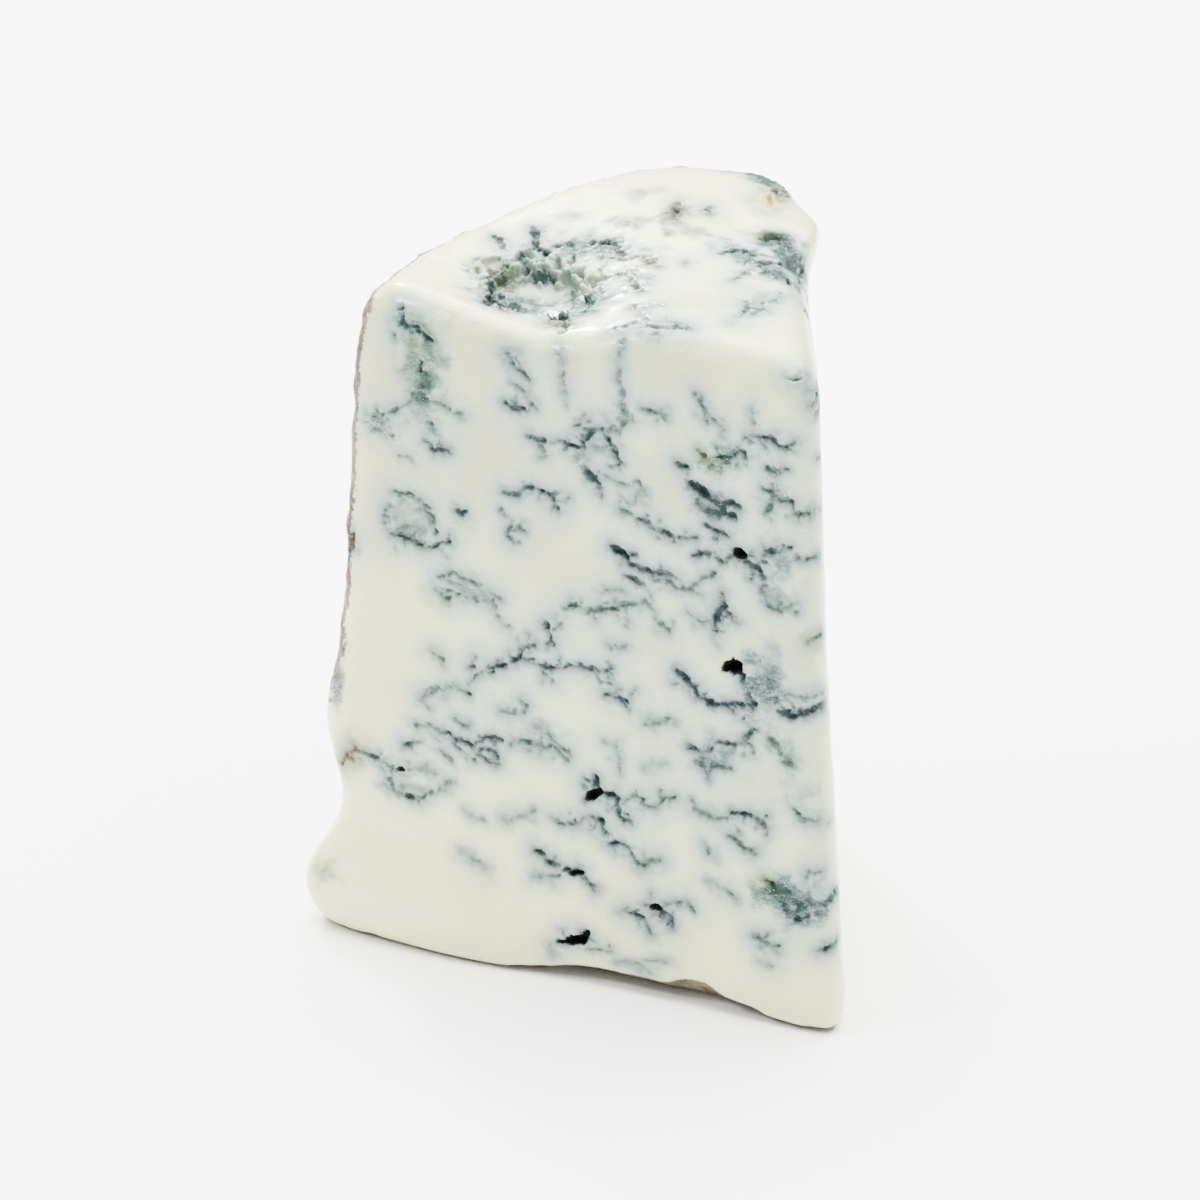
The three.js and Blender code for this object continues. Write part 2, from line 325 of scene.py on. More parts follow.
    vein(0.5, 0.5, (12.4, 4.4), (14.0, 4.9), (15.4, 4.7)),
    # beside the thin end, near the top
    vein(0.8, 0.8, (31.6, 85.0), (32.2, 83.4), (32.4, 81.8)),
    vein(0.5, 0.6, (28.8, 84.6), (30.4, 84.8)),
    # dried cracks and stains at the rim
    vein(0.35, 1.0, (-32.8, 23.0), (-31.4, 24.6), (-30.6, 25.4), (-29.8, 26.2), tint=Tint.BROWN),
    vein(0.6, 0.9, (-31.4, 54.6), (-31.6, 52.4)),
    vein(0.5, 0.7, (-29.4, 71.0), (-27.4, 70.4), (-25.8, 70.8)),
    vein(0.5, 0.6, (-28.4, 69.0), (-26.8, 69.6), (-25.2, 69.0)),
)

TOP_VEINS = (
    # the front edge
    vein(0.7, 0.7, (4.6, -22.4), (7.8, -22.0), (10.2, -22.5), (12.8, -21.8), (15.2, -22.0)),
    vein(0.5, 0.6, (9.4, -21.4), (11.6, -21.0), (14.0, -20.8)),
    vein(0.7, 0.6, (6.6, -19.2), (7.8, -20.6), (8.8, -21.6)),
    # the hollow
    vein(1.1, 0.8, (-22.6, -3.2), (-21.4, -3.8), (-20.6, -4.4)),
    vein(1.3, 0.9, (-18.8, -0.2), (-17.2, -1.6), (-16.2, -3.2), (-14.8, -3.6)),
    vein(0.9, 0.8, (-17.6, -4.8), (-16.8, -6.0), (-14.8, -6.4), (-12.6, -6.2)),
    vein(0.9, 0.7, (-14.4, -2.8), (-12.8, -2.2), (-11.6, -2.4), (-10.8, -3.8)),
    vein(1.2, 0.8, (-9.6, -1.8), (-7.2, -1.6), (-5.4, -2.4), (-4.6, -3.8), (-3.4, -4.4)),
    vein(1.0, 0.6, (-9.8, -5.4), (-10.4, -6.4), (-9.4, -8.0), (-8.0, -9.8), tint=Tint.GREEN),
    vein(1.0, 0.8, (-20.6, -9.0), (-19.4, -8.2), (-17.6, -8.0), tint=Tint.BROWN),
    vein(2.0, 1.0, (-18.6, -10.8), (-17.2, -13.4), (-16.4, -15.6), (-15.0, -18.6)),
    vein(2.4, 1.0, (-15.8, -10.4), (-14.6, -12.4), (-13.2, -14.6), (-11.8, -16.2)),
    vein(0.8, 0.7, (-14.6, -9.4), (-12.8, -9.8), (-11.0, -9.0)),
    vein(1.4, 0.9, (-16.8, -11.4), (-15.8, -14.6), (-14.0, -17.0), (-13.2, -18.6)),
    vein(2.4, 1.0, (-8.2, -13.4), (-7.2, -15.8), (-6.0, -18.2)),
    vein(1.7, 1.0, (-5.6, -17.0), (-4.4, -19.0), (-3.0, -20.4), tint=Tint.BROWN),
    vein(1.7, 0.9, (-5.6, -11.8), (-4.0, -13.2), (-3.0, -15.0), (-2.2, -16.8)),
    vein(1.0, 0.7, (-6.6, -19.2), (-4.6, -20.2), (-2.8, -20.8), tint=Tint.BROWN),
    vein(0.9, 0.7, (-5.4, -16.4), (-4.0, -18.6), (-3.0, -20.2)),
    vein(0.7, 0.8, (0.2, -5.6), (1.4, -6.2), (2.8, -7.0), tint=Tint.BROWN),
    vein(0.7, 0.8, (-2.6, -7.8), (-0.8, -8.4), (0.2, -9.8), (1.6, -11.6), (4.0, -13.4), tint=Tint.BROWN),
    vein(0.5, 0.5, (-5.2, -4.6), (-3.0, -5.2), (-1.2, -4.8), (1.2, -5.6), tint=Tint.BROWN),
    vein(0.5, 0.5, (4.0, -16.8), (5.8, -18.0), (7.6, -16.8)),
    # the dark patch beside the second cut
    vein(2.4, 1.0, (11.4, 5.4), (12.4, 7.0), (13.8, 6.4), tint=Tint.GREEN),
    vein(1.9, 1.0, (13.6, 5.6), (15.6, 4.2), (17.0, 2.6), (17.2, 1.2), tint=Tint.TEAL),
    vein(1.3, 0.9, (16.8, 5.8), (18.0, 3.6), (18.8, 1.2), (19.4, -1.4)),
    vein(1.3, 0.9, (8.8, -1.2), (9.8, 0.2), (11.4, 1.0), (12.6, 0.6)),
    vein(1.1, 0.9, (11.6, -2.0), (13.2, -1.0), (14.8, -0.2), (16.2, 0.6)),
    vein(1.2, 0.9, (15.2, -1.6), (16.8, -2.6), (18.6, -2.4), (19.2, -3.2)),
    vein(0.7, 0.6, (13.8, -2.8), (13.6, -5.0), (13.2, -6.4)),
    vein(0.6, 0.6, (5.4, -5.0), (6.2, -5.6)),
    vein(0.8, 0.6, (19.8, -6.8), (20.2, -8.8), (19.6, -10.8)),
    vein(0.7, 0.8, (17.2, -11.8), (18.0, -13.6), (18.4, -15.8)),
    vein(0.7, 0.8, (19.4, -11.0), (19.8, -13.0), (19.4, -15.0)),
    # stains towards the back
    vein(1.0, 0.6, (-1.6, 8.4), (-1.2, 6.8), (-0.6, 4.8), tint=Tint.BROWN),
    vein(0.5, 0.9, (1.8, 9.6), (2.2, 8.4), tint=Tint.GREEN),
    vein(0.8, 1.0, (7.0, 17.4), (7.8, 15.8), (8.2, 14.2), tint=Tint.OCHRE),
    vein(1.0, 0.9, (4.6, 20.8), (6.6, 20.2), (7.4, 18.6), tint=Tint.BROWN),
    vein(0.8, 0.9, (-1.6, 24.8), (1.2, 25.4), (4.4, 24.6), (6.8, 22.4), (8.4, 19.4)),
    vein(0.5, 0.7, (-12.6, 18.8), (-8.6, 21.6), (-4.4, 23.8)),
)

FRONT_PATCHES = (
    Patch((-21.0, 78.4), (5.6, 2.8), 0.85, 92, Tint.GREEN, 0.1),
    Patch((-20.8, 76.2), (3.0, 1.5), 1.3, 86, Tint.TEAL, 0.5),
    Patch((-20.8, 72.2), (4.2, 2.2), 0.62, 0, Tint.TEAL),
    Patch((-28.2, 70.2), (3.0, 1.5), 0.45, 6, Tint.SLATE, 1.0),
    Patch((3.6, 72.8), (4.6, 3.0), 0.5, -20),
    Patch((7.2, 77.0), (4.0, 1.3), 0.4, 95),
    Patch((8.0, 67.6), (3.6, 2.0), 0.3, 0),
    Patch((20.8, 73.2), (3.4, 1.8), 0.8, 12, Tint.GREEN, 0.5),
    Patch((19.8, 67.6), (3.4, 2.0), 0.8, -30, Tint.SLATE, 0.3),
    Patch((27.8, 69.0), (2.6, 2.4), 0.5, 0, Tint.TEAL),
    Patch((27.8, 61.6), (4.2, 2.2), 0.7, 0),
    Patch((28.6, 57.0), (2.6, 2.0), 0.5, 0),
    Patch((20.8, 53.6), (1.8, 3.0), 0.4, 0),
    Patch((-22.4, 58.2), (4.0, 3.4), 0.42, 0, Tint.TEAL),
    Patch((-14.6, 50.6), (4.8, 1.6), 0.5, -12),
    Patch((-4.0, 43.2), (6.4, 1.3), 0.45, 4),
    Patch((6.0, 52.0), (6.0, 1.2), 0.3, 22),
    Patch((16.0, 57.0), (5.0, 1.4), 0.4, -6),
    Patch((27.2, 45.4), (3.0, 3.6), 0.9, 20, Tint.SLATE, 0.4),
    Patch((32.4, 43.8), (3.2, 1.4), 0.5, 8),
    Patch((-3.0, 33.4), (3.8, 1.6), 0.5, -16, Tint.TEAL),
    Patch((-11.8, 29.0), (3.0, 1.8), 0.5, -10),
    Patch((21.2, 34.0), (3.4, 2.0), 0.75, 20),
    Patch((30.4, 36.8), (2.6, 1.6), 0.75, -50, Tint.TEAL),
    Patch((32.8, 32.0), (3.4, 2.6), 0.4, 0, Tint.TEAL),
    Patch((12.8, 32.0), (2.4, 1.2), 0.25, 20),
    Patch((-21.6, 22.6), (3.6, 1.8), 0.3, 8),
    Patch((-6.2, 21.2), (3.0, 1.2), 0.25, 20),
    Patch((5.4, 22.4), (2.6, 1.4), 0.45, -20, Tint.TEAL),
    Patch((12.0, 18.4), (2.8, 1.2), 0.45, -10),
    Patch((-12.6, 14.2), (2.4, 1.4), 0.3, -20, Tint.TEAL),
    Patch((14.2, 11.4), (3.0, 1.8), 0.4, 0),
    Patch((30.2, 18.4), (2.6, 1.8), 1.2, 0, Tint.GREEN, 0.9),
    Patch((33.8, 17.2), (3.4, 2.0), 1.0, 6, Tint.SLATE, 0.6),
    Patch((35.2, 20.8), (2.6, 2.0), 0.4, 40),
    Patch((13.4, 3.8), (3.4, 1.6), 0.35, 10, Tint.TEAL),
    Patch((-4.6, 77.6), (2.6, 1.4), 0.2, -40, Tint.TEAL),
    Patch((-33.4, 35.0), (1.0, 2.6), 0.9, 0, Tint.SLATE, 0.8),
    Patch((-34.2, 8.0), (2.4, 2.0), 0.35, 0, Tint.BROWN, 0.3),
)

TOP_PATCHES = (
    Patch((-15.8, -12.6), (4.4, 3.4), 1.0, -60, Tint.SLATE, 0.75),
    Patch((-12.4, -5.6), (5.4, 2.4), 0.4, -6, Tint.SLATE, 0.3),
    Patch((-8.0, -3.0), (6.0, 2.2), 0.9, -6, Tint.SLATE, 0.3),
    Patch((-18.8, -8.4), (3.2, 1.6), 0.7, 6, Tint.BROWN, 0.45),
    Patch((-18.0, -4.4), (4.0, 2.4), 0.45, 0, Tint.SLATE, 0.4),
    Patch((-6.6, -15.8), (4.0, 2.0), 1.2, -62, Tint.BROWN, 0.6),
    Patch((-3.6, -14.6), (4.0, 2.2), 1.0, -50, Tint.SLATE, 0.45),
    Patch((-8.6, -9.4), (2.6, 1.3), 0.6, -42, Tint.GREEN, 0.4),
    Patch((-3.6, -19.4), (2.6, 1.4), 0.6, -30, Tint.BROWN, 0.6),
    Patch((-21.4, -3.8), (1.8, 1.0), 0.7, -20, Tint.SLATE, 0.4),
    Patch((1.0, -9.4), (4.6, 2.4), 0.55, -44, Tint.BROWN, 0.4),
    Patch((-3.4, -10.4), (5.4, 2.6), 0.5, -36, Tint.SLATE, 0.5),
    Patch((12.6, 6.0), (2.8, 2.0), 1.4, 20, Tint.GREEN, 0.6),
    Patch((16.6, 3.0), (3.8, 2.2), 1.4, -62, Tint.SLATE, 0.4),
    Patch((12.8, -0.4), (4.8, 2.2), 1.0, -12, Tint.SLATE, 0.4),
    Patch((17.4, -2.2), (2.6, 1.6), 1.1, 0, Tint.SLATE, 0.4),
    Patch((13.6, -4.4), (2.6, 1.6), 0.5, -80),
    Patch((7.0, -3.4), (4.0, 2.0), 0.2, 60, Tint.TEAL),
    Patch((19.0, -11.6), (6.0, 2.2), 0.55, 84),
    Patch((20.4, -18.6), (3.0, 1.6), 0.25, -70, Tint.TEAL),
    Patch((8.0, -20.4), (3.0, 1.5), 0.45, -40),
    Patch((17.0, -9.0), (9.0, 9.0), 0.2, 0, Tint.TEAL),
    Patch((3.0, -14.0), (8.0, 6.0), 0.16, 0, Tint.TEAL),
    Patch((-9.0, 4.0), (9.0, 5.0), 0.14, 0, Tint.GREEN),
    Patch((-1.0, 6.4), (2.8, 1.4), 1.1, -72, Tint.BROWN, 0.8),
    Patch((-6.2, 2.2), (2.0, 1.2), 0.9, 0, Tint.BROWN, 0.4),
    Patch((3.6, 2.0), (1.9, 1.1), 0.9, 0, Tint.BROWN, 0.4),
    Patch((0.3, 0.9), (0.9, 0.7), 0.9, 0, Tint.BROWN),
    Patch((-14.0, 2.6), (2.4, 1.2), 0.45, 0, Tint.GREEN),
    Patch((-7.4, 9.6), (2.0, 1.6), 0.6, 60, Tint.GREEN),
    Patch((7.8, 15.8), (1.8, 1.1), 0.9, -70, Tint.OCHRE),
    Patch((2.4, 23.4), (4.4, 2.2), 1.5, -24, Tint.SLATE, 0.9),
    Patch((7.4, 19.4), (3.4, 1.2), 1.1, -66, Tint.BROWN, 0.6),
    Patch((-12.0, 18.0), (3.6, 1.3), 0.5, 44, Tint.BROWN, 0.4),
    Patch((-21.0, 10.0), (5.0, 1.2), 0.4, 50, Tint.BROWN, 0.4),
)

# Parts of the front cut where the paste's colour is greyer and darker, most of them in its upper half.
GREY_PASTE_PATCHES = (
    Patch((-25.0, 74.0), (7.0, 12.0), 0.8),
    Patch((-12.0, 69.0), (7.0, 8.0), 0.75),
    Patch((-13.0, 80.0), (6.0, 4.0), 0.6),
    Patch((0.5, 80.0), (3.4, 4.4), 0.5),
    Patch((13.6, 82.5), (5.6, 3.4), 0.6),
    Patch((13.0, 68.0), (3.6, 5.0), 0.7),
    Patch((-3.0, 56.0), (9.0, 5.0), 0.5),
    Patch((-27.0, 58.0), (4.0, 9.0), 0.7),
    Patch((24.0, 53.0), (3.0, 4.0), 0.4),
    Patch((31.0, 49.0), (4.0, 4.0), 0.7),
    Patch((27.0, 32.0), (4.0, 3.6), 0.4),
    Patch((-27.0, 33.0), (6.0, 8.0), 0.35),
    Patch((-22.0, 65.0), (6.0, 4.0), 0.6),
    Patch((-4.0, 62.0), (6.0, 7.0), 0.6),
    Patch((37.5, 62.0), (3.0, 26.0), 0.8),
    Patch((21.0, 78.0), (4.0, 3.0), 0.5),
    Patch((10.0, 48.0), (6.0, 3.0), 0.5),
    Patch((36.0, 24.0), (2.6, 12.0), 0.5),
)

# The dark value of a hollow, here and on the top, paints shade into its inside.
FRONT_HOLLOWS = (
    Hollow((23.3, 46.8), (1.6, 1.2), 2.8),
    Hollow((23.2, 61.7), (0.9, 0.7), 1.8),
    Hollow((4.2, 26.2), (1.5, 0.6), 2.0, 1.0, 35),
    Hollow((2.6, 5.6), (1.7, 1.0), 2.6, 1.0, 24),
    Hollow((3.8, 6.9), (1.0, 0.5), 1.6, 1.0, 62),
    Hollow((1.2, 5.0), (1.1, 0.4), 1.4, 1.0, -8),
    Hollow((2.2, 15.1), (1.0, 0.4), 1.6, 0.9, 18),
    Hollow((13.3, 12.7), (0.9, 0.5), 1.6, 1.0),
    Hollow((-23.4, 24.2), (0.7, 0.3), 1.0, 0.9),
    Hollow((18.2, 68.5), (1.6, 0.5), 1.2, 0.55, -42),
    Hollow((7.4, 58.9), (1.3, 0.5), 1.2, 0.45, -38),
    Hollow((-22.4, 58.3), (3.0, 2.4), 1.3, 0.0),
    Hollow((-21.6, 58.9), (1.2, 0.8), -0.8, 0.0, 30),
    Hollow((-22.0, 22.8), (2.6, 1.2), 0.6, 0.0, 8),
    Hollow((9.6, 55.8), (1.4, 0.5), 0.6, 0.0, -20),
    Hollow((8.2, 56.6), (1.1, 0.35), -0.45, 0.0, -10),
    Hollow((-1.8, 53.2), (1.9, 0.3), -0.3, 0.0, 58),
    Hollow((14.6, 10.8), (0.8, 0.35), -0.5, 0.0, 40),
    Hollow((33.6, 18.6), (1.4, 0.6), -0.5, 0.0, 30),
    Hollow((27.0, 47.0), (1.9, 0.5), -0.5, 0.0, 62),
    Hollow((30.0, 43.4), (2.2, 0.5), -0.5, 0.0, -24),
    Hollow((20.0, 34.0), (1.6, 0.7), 0.6, 0.0, 20),
    Hollow((28.6, 57.0), (1.6, 1.2), 0.6, 0.0),
    Hollow((-14.4, 50.6), (3.2, 0.7), 0.5, 0.0, -12),
    Hollow((19.6, 67.4), (2.2, 1.2), 0.8, 0.1, -30),
    Hollow((3.6, 72.4), (1.6, 1.0), 0.5, 0.0),
    Hollow((27.6, 44.6), (1.8, 2.2), 0.8, 0.1, 20),
    Hollow((32.8, 17.8), (3.2, 1.5), 0.9, 0.2, 6),
    Hollow((14.4, 11.6), (1.8, 1.0), 0.7, 0.1),
    Hollow((-3.0, 33.6), (2.4, 0.9), 0.35, 0.0, -16),
)

TOP_HOLLOWS = (
    Hollow((-12.0, -10.6), (8.6, 5.6), 2.2, 0.0, -16),
    Hollow((-15.6, -12.4), (3.4, 1.6), 1.6, 0.5, -24),
    Hollow((-6.6, -16.2), (2.8, 1.2), 1.3, 0.85, -62),
    Hollow((12.6, 6.4), (1.8, 1.1), 0.8, 0.6, 20),
    Hollow((17.0, 2.4), (2.4, 0.8), 0.6, 0.5, -62),
    Hollow((-16.6, -14.2), (2.6, 0.8), 0.9, 0.75, -66),
    Hollow((-10.0, -8.2), (3.0, 1.8), 0.8, 0.2, -20),
    Hollow((-20.0, -8.0), (1.8, 1.2), 0.8, 0.3),
    Hollow((16.2, 3.4), (3.4, 1.6), 0.6, 0.1, -50),
)

PATCHES = ((Face.FRONT, FRONT_PATCHES), (Face.TOP, TOP_PATCHES))
HOLLOWS = ((Face.FRONT, FRONT_HOLLOWS), (Face.TOP, TOP_HOLLOWS))


@dataclass(frozen=True)
class RandomVeins:
    """How veins lie on a face that shows no chosen ones.

    Attributes:
        face: the face they lie on.
        across: lowest and highest place in the face's first direction, mm.
        up: the same in its second direction, mm.
        count: how many cracks.
        slope: the direction most cracks follow, degrees.
        seed: what the random places are drawn from.
    """

    face: Face
    across: Point
    up: Point
    count: int
    slope: float
    seed: int


SECOND_CUT_VEINS = RandomVeins(
    Face.SECOND, across=(6.0, 56.0), up=(12.0, 82.0), count=74, slope=8.0, seed=5)


@dataclass
class VeinNetwork:
    """Every vein of the wedge as short steps in space, and the fields they leave around them.

    Attributes:
        skin: the wedge's surface, for projecting places onto it.
        seed: what the wobbles and the twigs are drawn from.
        step: distance between two samples along a vein, mm.
        wobble: how far a vein strays from its line, mm.
        twig_wobble: the same for a twig, mm.
        twig_length: shortest and longest twig before its vein's tone is counted, mm.
        twig_width: thinnest and widest twig, as shares of its vein.
        forking: how likely a twig is to have twigs of its own.
        places: every sample's place, m.
        widths: every sample's width, m.
        tones: every sample's tone.
        tints: every sample's place along the mould ramp.
    """

    skin: BVHTree
    seed: int = 11
    step: float = 0.22
    wobble: float = 0.27
    twig_wobble: float = 0.14
    twig_length: Point = (0.5, 1.9)
    twig_width: Point = (0.15, 0.5)
    forking: float = 0.45
    places: list[Vector] = field(default_factory=list)
    widths: list[float] = field(default_factory=list)
    tones: list[float] = field(default_factory=list)
    tints: list[float] = field(default_factory=list)

    def __post_init__(self) -> None:
        """Starts the one sequence of random numbers that all veins share, and fixes the noise."""
        self.random = random.Random(self.seed)
        noise.seed_set(self.seed)

    def draw(self, face: Face, one: Vein) -> None:
        """Adds a vein, with its twigs, to a face.

        Args:
            face: the face it lies on.
            one: the vein.
        """
        line = self._wobbled(one.points, self.wobble)
        self._sample(face, line, one.width, one.tone, one.tint.value)
        self._twigs(face, line, one, depth=0)

    def _twigs(self, face: Face, line: np.ndarray, one: Vein, depth: int) -> None:
        """Adds short side cracks to a line.

        Args:
            face: the face it lies on.
            line: the line's points, mm.
            one: the vein that the line belongs to.
            depth: 0 on a vein, 1 on its twigs.
        """
        length = float(np.hypot(*np.diff(line, axis=0).T).sum())
        count = int(length * (0.68 if depth == 0 else 0.6) * (0.4 + one.tone) + self.random.random())
        for _ in range(count):
            i = self.random.randrange(1, len(line) - 1)
            along = line[i + 1] - line[i - 1]
            side = self.random.choice((-1, 1))
            angle = math.atan2(along[1], along[0]) + side * self.random.uniform(0.5, 1.5)
            reach = self.random.uniform(*self.twig_length) * (0.5 + 0.6 * one.tone)
            reach *= 1.0 if depth == 0 else 0.6
            bend = angle + self.random.uniform(-0.8, 0.8)
            a = line[i]
            b = a + 0.5 * reach * np.array((math.cos(angle), math.sin(angle)))
            c = b + 0.5 * reach * np.array((math.cos(bend), math.sin(bend)))
            twig = self._wobbled((tuple(a), tuple(b), tuple(c)), self.twig_wobble)
            width = one.width * self.random.uniform(*self.twig_width)
            self._sample(face, twig, width, one.tone * self.random.uniform(0.2, 0.85), one.tint.value)
            if depth == 0 and self.random.random() < self.forking:
                self._twigs(face, twig, one, depth=1)

    def _wobbled(self, points: tuple[Point, ...], amount: float) -> np.ndarray:
        """A ragged line through some points.

        Args:
            points: the places to pass, mm.
            amount: how far it strays to the side, mm.

        Returns:
            Points a step apart, mm.
        """
        corners = np.array(points, float)
        legs = np.hypot(*np.diff(corners, axis=0).T)
        run = np.concatenate(([0.0], np.cumsum(legs)))
        count = max(3, int(run[-1] / self.step) + 1)
        at = np.linspace(0, run[-1], count)
        line = np.stack([np.interp(at, run, corners[:, i]) for i in range(2)], axis=1)
        shift = self.random.uniform(0, 900)
        for i, place in enumerate(line):
            for scale, share in ((0.45, 1.0), (1.3, 0.5), (3.1, 0.25)):
                x, y = place * scale
                stray = noise.noise_vector(Vector((x, y, shift)))
                line[i] += amount * share * np.array((stray.x, stray.y)) * 1.6
        return line

    def _sample(self, face: Face, line: np.ndarray, width: float, tone: float, tint: float) -> None:
        """Projects a line onto the skin and keeps its samples.

        Args:
            face: the face it lies on.
            line: its points, mm.
            width: its full width, mm.
            tone: its darkness.
            tint: its place along the mould ramp.
        """
        spots = [project(self.skin, face, tuple(p)) for p in line]
        shift = self.random.uniform(0, 900)
        for i, spot in enumerate(spots):
            if spot is None:
                continue
            before = spots[i - 1] if i > 0 and spots[i - 1] is not None else spot
            after = spots[i + 1] if i + 1 < len(spots) and spots[i + 1] is not None else spot
            if (after - before).length < 1e-9:
                continue
            t = i / (len(spots) - 1)
            taper = 0.4 + 0.6 * math.sin(math.pi * min(max(t, 0.04), 0.96)) ** 0.5
            swell = 0.62 + 0.55 * noise.noise(Vector((i * self.step * 0.9, shift, 0)))
            self.places.append(spot)
            self.widths.append(width * taper * swell * MM)
            self.tones.append(tone * (0.85 + 0.3 * noise.noise(Vector((shift, i * self.step * 0.7, 3)))))
            self.tints.append(tint)

    def scatter(self, plan: RandomVeins) -> None:
        """Draws random veins on a face, with the lengths and widths of the chosen ones.

        Args:
            plan: where and how many.
        """
        draw = random.Random(plan.seed)
        for _ in range(plan.count):
            at = np.array((draw.uniform(*plan.across), draw.uniform(*plan.up)))
            angle = math.radians(plan.slope + draw.gauss(0, 28))
            points = [tuple(at)]
            for _ in range(draw.randint(1, 4)):
                at = at + draw.uniform(1.2, 2.6) * np.array((math.cos(angle), math.sin(angle)))
                angle += math.radians(draw.gauss(0, 32))
                points.append(tuple(at))
            tint = draw.choice((Tint.SLATE, Tint.SLATE, Tint.SLATE, Tint.TEAL, Tint.GREEN))
            self.draw(plan.face, Vein(draw.uniform(0.45, 1.1), draw.uniform(0.5, 1.0), tuple(points), tint))

    def tree(self) -> kdtree.KDTree:
        """A search tree over all samples.

        Returns:
            The tree, which finds samples by their place in metres.
        """
        found = kdtree.KDTree(len(self.places))
        for i, place in enumerate(self.places):
            found.insert(place, i)
        found.balance()
        return found


def face_axes(face: Face) -> tuple[Vector, Vector]:
    """Outward direction of a face and its first direction in space.

    Args:
        face: the face.

    Returns:
        The outward and the first direction.
    """
    if face is Face.FRONT:
        return Vector((0, -1, 0)), Vector((1, 0, 0))
    if face is Face.TOP:
        return Vector((0, 0, 1)), Vector((1, 0, 0))
    a = math.radians(SECOND_CUT_FACES)
    return Vector((math.cos(a), math.sin(a), 0)), Vector((-math.sin(a), math.cos(a), 0))


def project(skin: BVHTree, face: Face, at: Point) -> Vector | None:
    """Finds a place of a face on the wedge's surface.

    Args:
        skin: the surface.
        face: the face that the place is written for.
        at: the place, mm.

    Returns:
        The point on the surface, or nothing off the face.
    """
    out, first = face_axes(face)
    if face is Face.FRONT:
        start = Vector((at[0], -REACH, at[1]))
    elif face is Face.TOP:
        start = Vector((at[0], at[1], 2 * REACH))
    else:
        start = Vector((*THIN_END, at[1])) + first * at[0] + out * REACH
    return skin.ray_cast(start * MM, -out)[0]


def smoothstep(low: float, high: float, x: np.ndarray) -> np.ndarray:
    """A soft step.

    Args:
        low: where it is 0.
        high: where it is 1, which may be below low.
        x: the values.

    Returns:
        The step at each value.
    """
    t = np.clip((x - low) / (high - low), 0.0, 1.0)
    return t * t * (3 - 2 * t)


def rough(points: np.ndarray, size: float, seed: float, octaves: int = 3) -> np.ndarray:
    """Fractal noise at some points.

    Args:
        points: the points, mm.
        size: the width of its largest lumps, mm.
        seed: picks one pattern.
        octaves: how many finer patterns are added.

    Returns:
        Values around 0, mostly from -0.6 to 0.6.
    """
    shift = Vector((seed, 1.7 * seed, -seed))
    values = [noise.fractal(Vector(p) / size + shift, 1.0, 2.0, octaves) for p in points.tolist()]
    return np.array(values)


@dataclass
class SurfacePoints:
    """A mesh's points as arrays, with their places on each face.

    Attributes:
        places: the points, mm.
        normals: the outward directions there.
    """

    places: np.ndarray
    normals: np.ndarray

    @classmethod
    def read(cls, mesh: bpy.types.Mesh) -> "SurfacePoints":
        """Reads a mesh's points.

        Args:
            mesh: the mesh.

        Returns:
            Its points and their directions.
        """
        count = len(mesh.vertices)
        places = np.empty(count * 3)
        normals = np.empty(count * 3)
        mesh.vertices.foreach_get("co", places)
        mesh.vertex_normals.foreach_get("vector", normals)
        return cls(places.reshape(-1, 3) / MM, normals.reshape(-1, 3))

    def on_face(self, face: Face) -> tuple[np.ndarray, np.ndarray]:
        """How far each point belongs to a face, and its place on it.

        Args:
            face: the face.

        Returns:
            A weight for each point, and the pairs of coordinates, mm.
        """
        x, y, z = self.places.T
        if face is Face.TOP:
            return smoothstep(0.35, 0.6, self.normals[:, 2]), np.stack([x, y], axis=1)
        out, first = face_axes(face)
        weight = smoothstep(0.45, 0.7, self.normals @ np.array(out))
        if face is Face.FRONT:
            return weight, np.stack([x, z], axis=1)
        along = (x - THIN_END[0]) * first.x + (y - THIN_END[1]) * first.y
        return weight, np.stack([along, z], axis=1)

    def on_rim(self) -> np.ndarray:
        """How far each point belongs to the rim.

        Returns:
            A weight for each point.
        """
        away = self.places[:, :2] - np.array(RIM_CENTRE)
        reach = np.maximum(np.linalg.norm(away, axis=1, keepdims=True), 1e-6)
        facing = (self.normals[:, :2] * (away / reach)).sum(axis=1)
        outside = smoothstep(RIM_RADIUS - 8, RIM_RADIUS - 5, reach[:, 0])
        return outside * smoothstep(0.55, 0.8, facing)


def ellipse_reach(at: Point, radii: Point, turn: float, spots: np.ndarray) -> np.ndarray:
    """Distance from an ellipse's middle, 1 on its outline.

    Args:
        at: its middle.
        radii: its half length and half width.
        turn: its long axis, degrees.
        spots: places on the same face.

    Returns:
        The distance of each place.
    """
    a = math.radians(turn)
    dx = spots[:, 0] - at[0]
    dy = spots[:, 1] - at[1]
    along = (dx * math.cos(a) + dy * math.sin(a)) / radii[0]
    across = (dy * math.cos(a) - dx * math.sin(a)) / radii[1]
    return np.hypot(along, across)


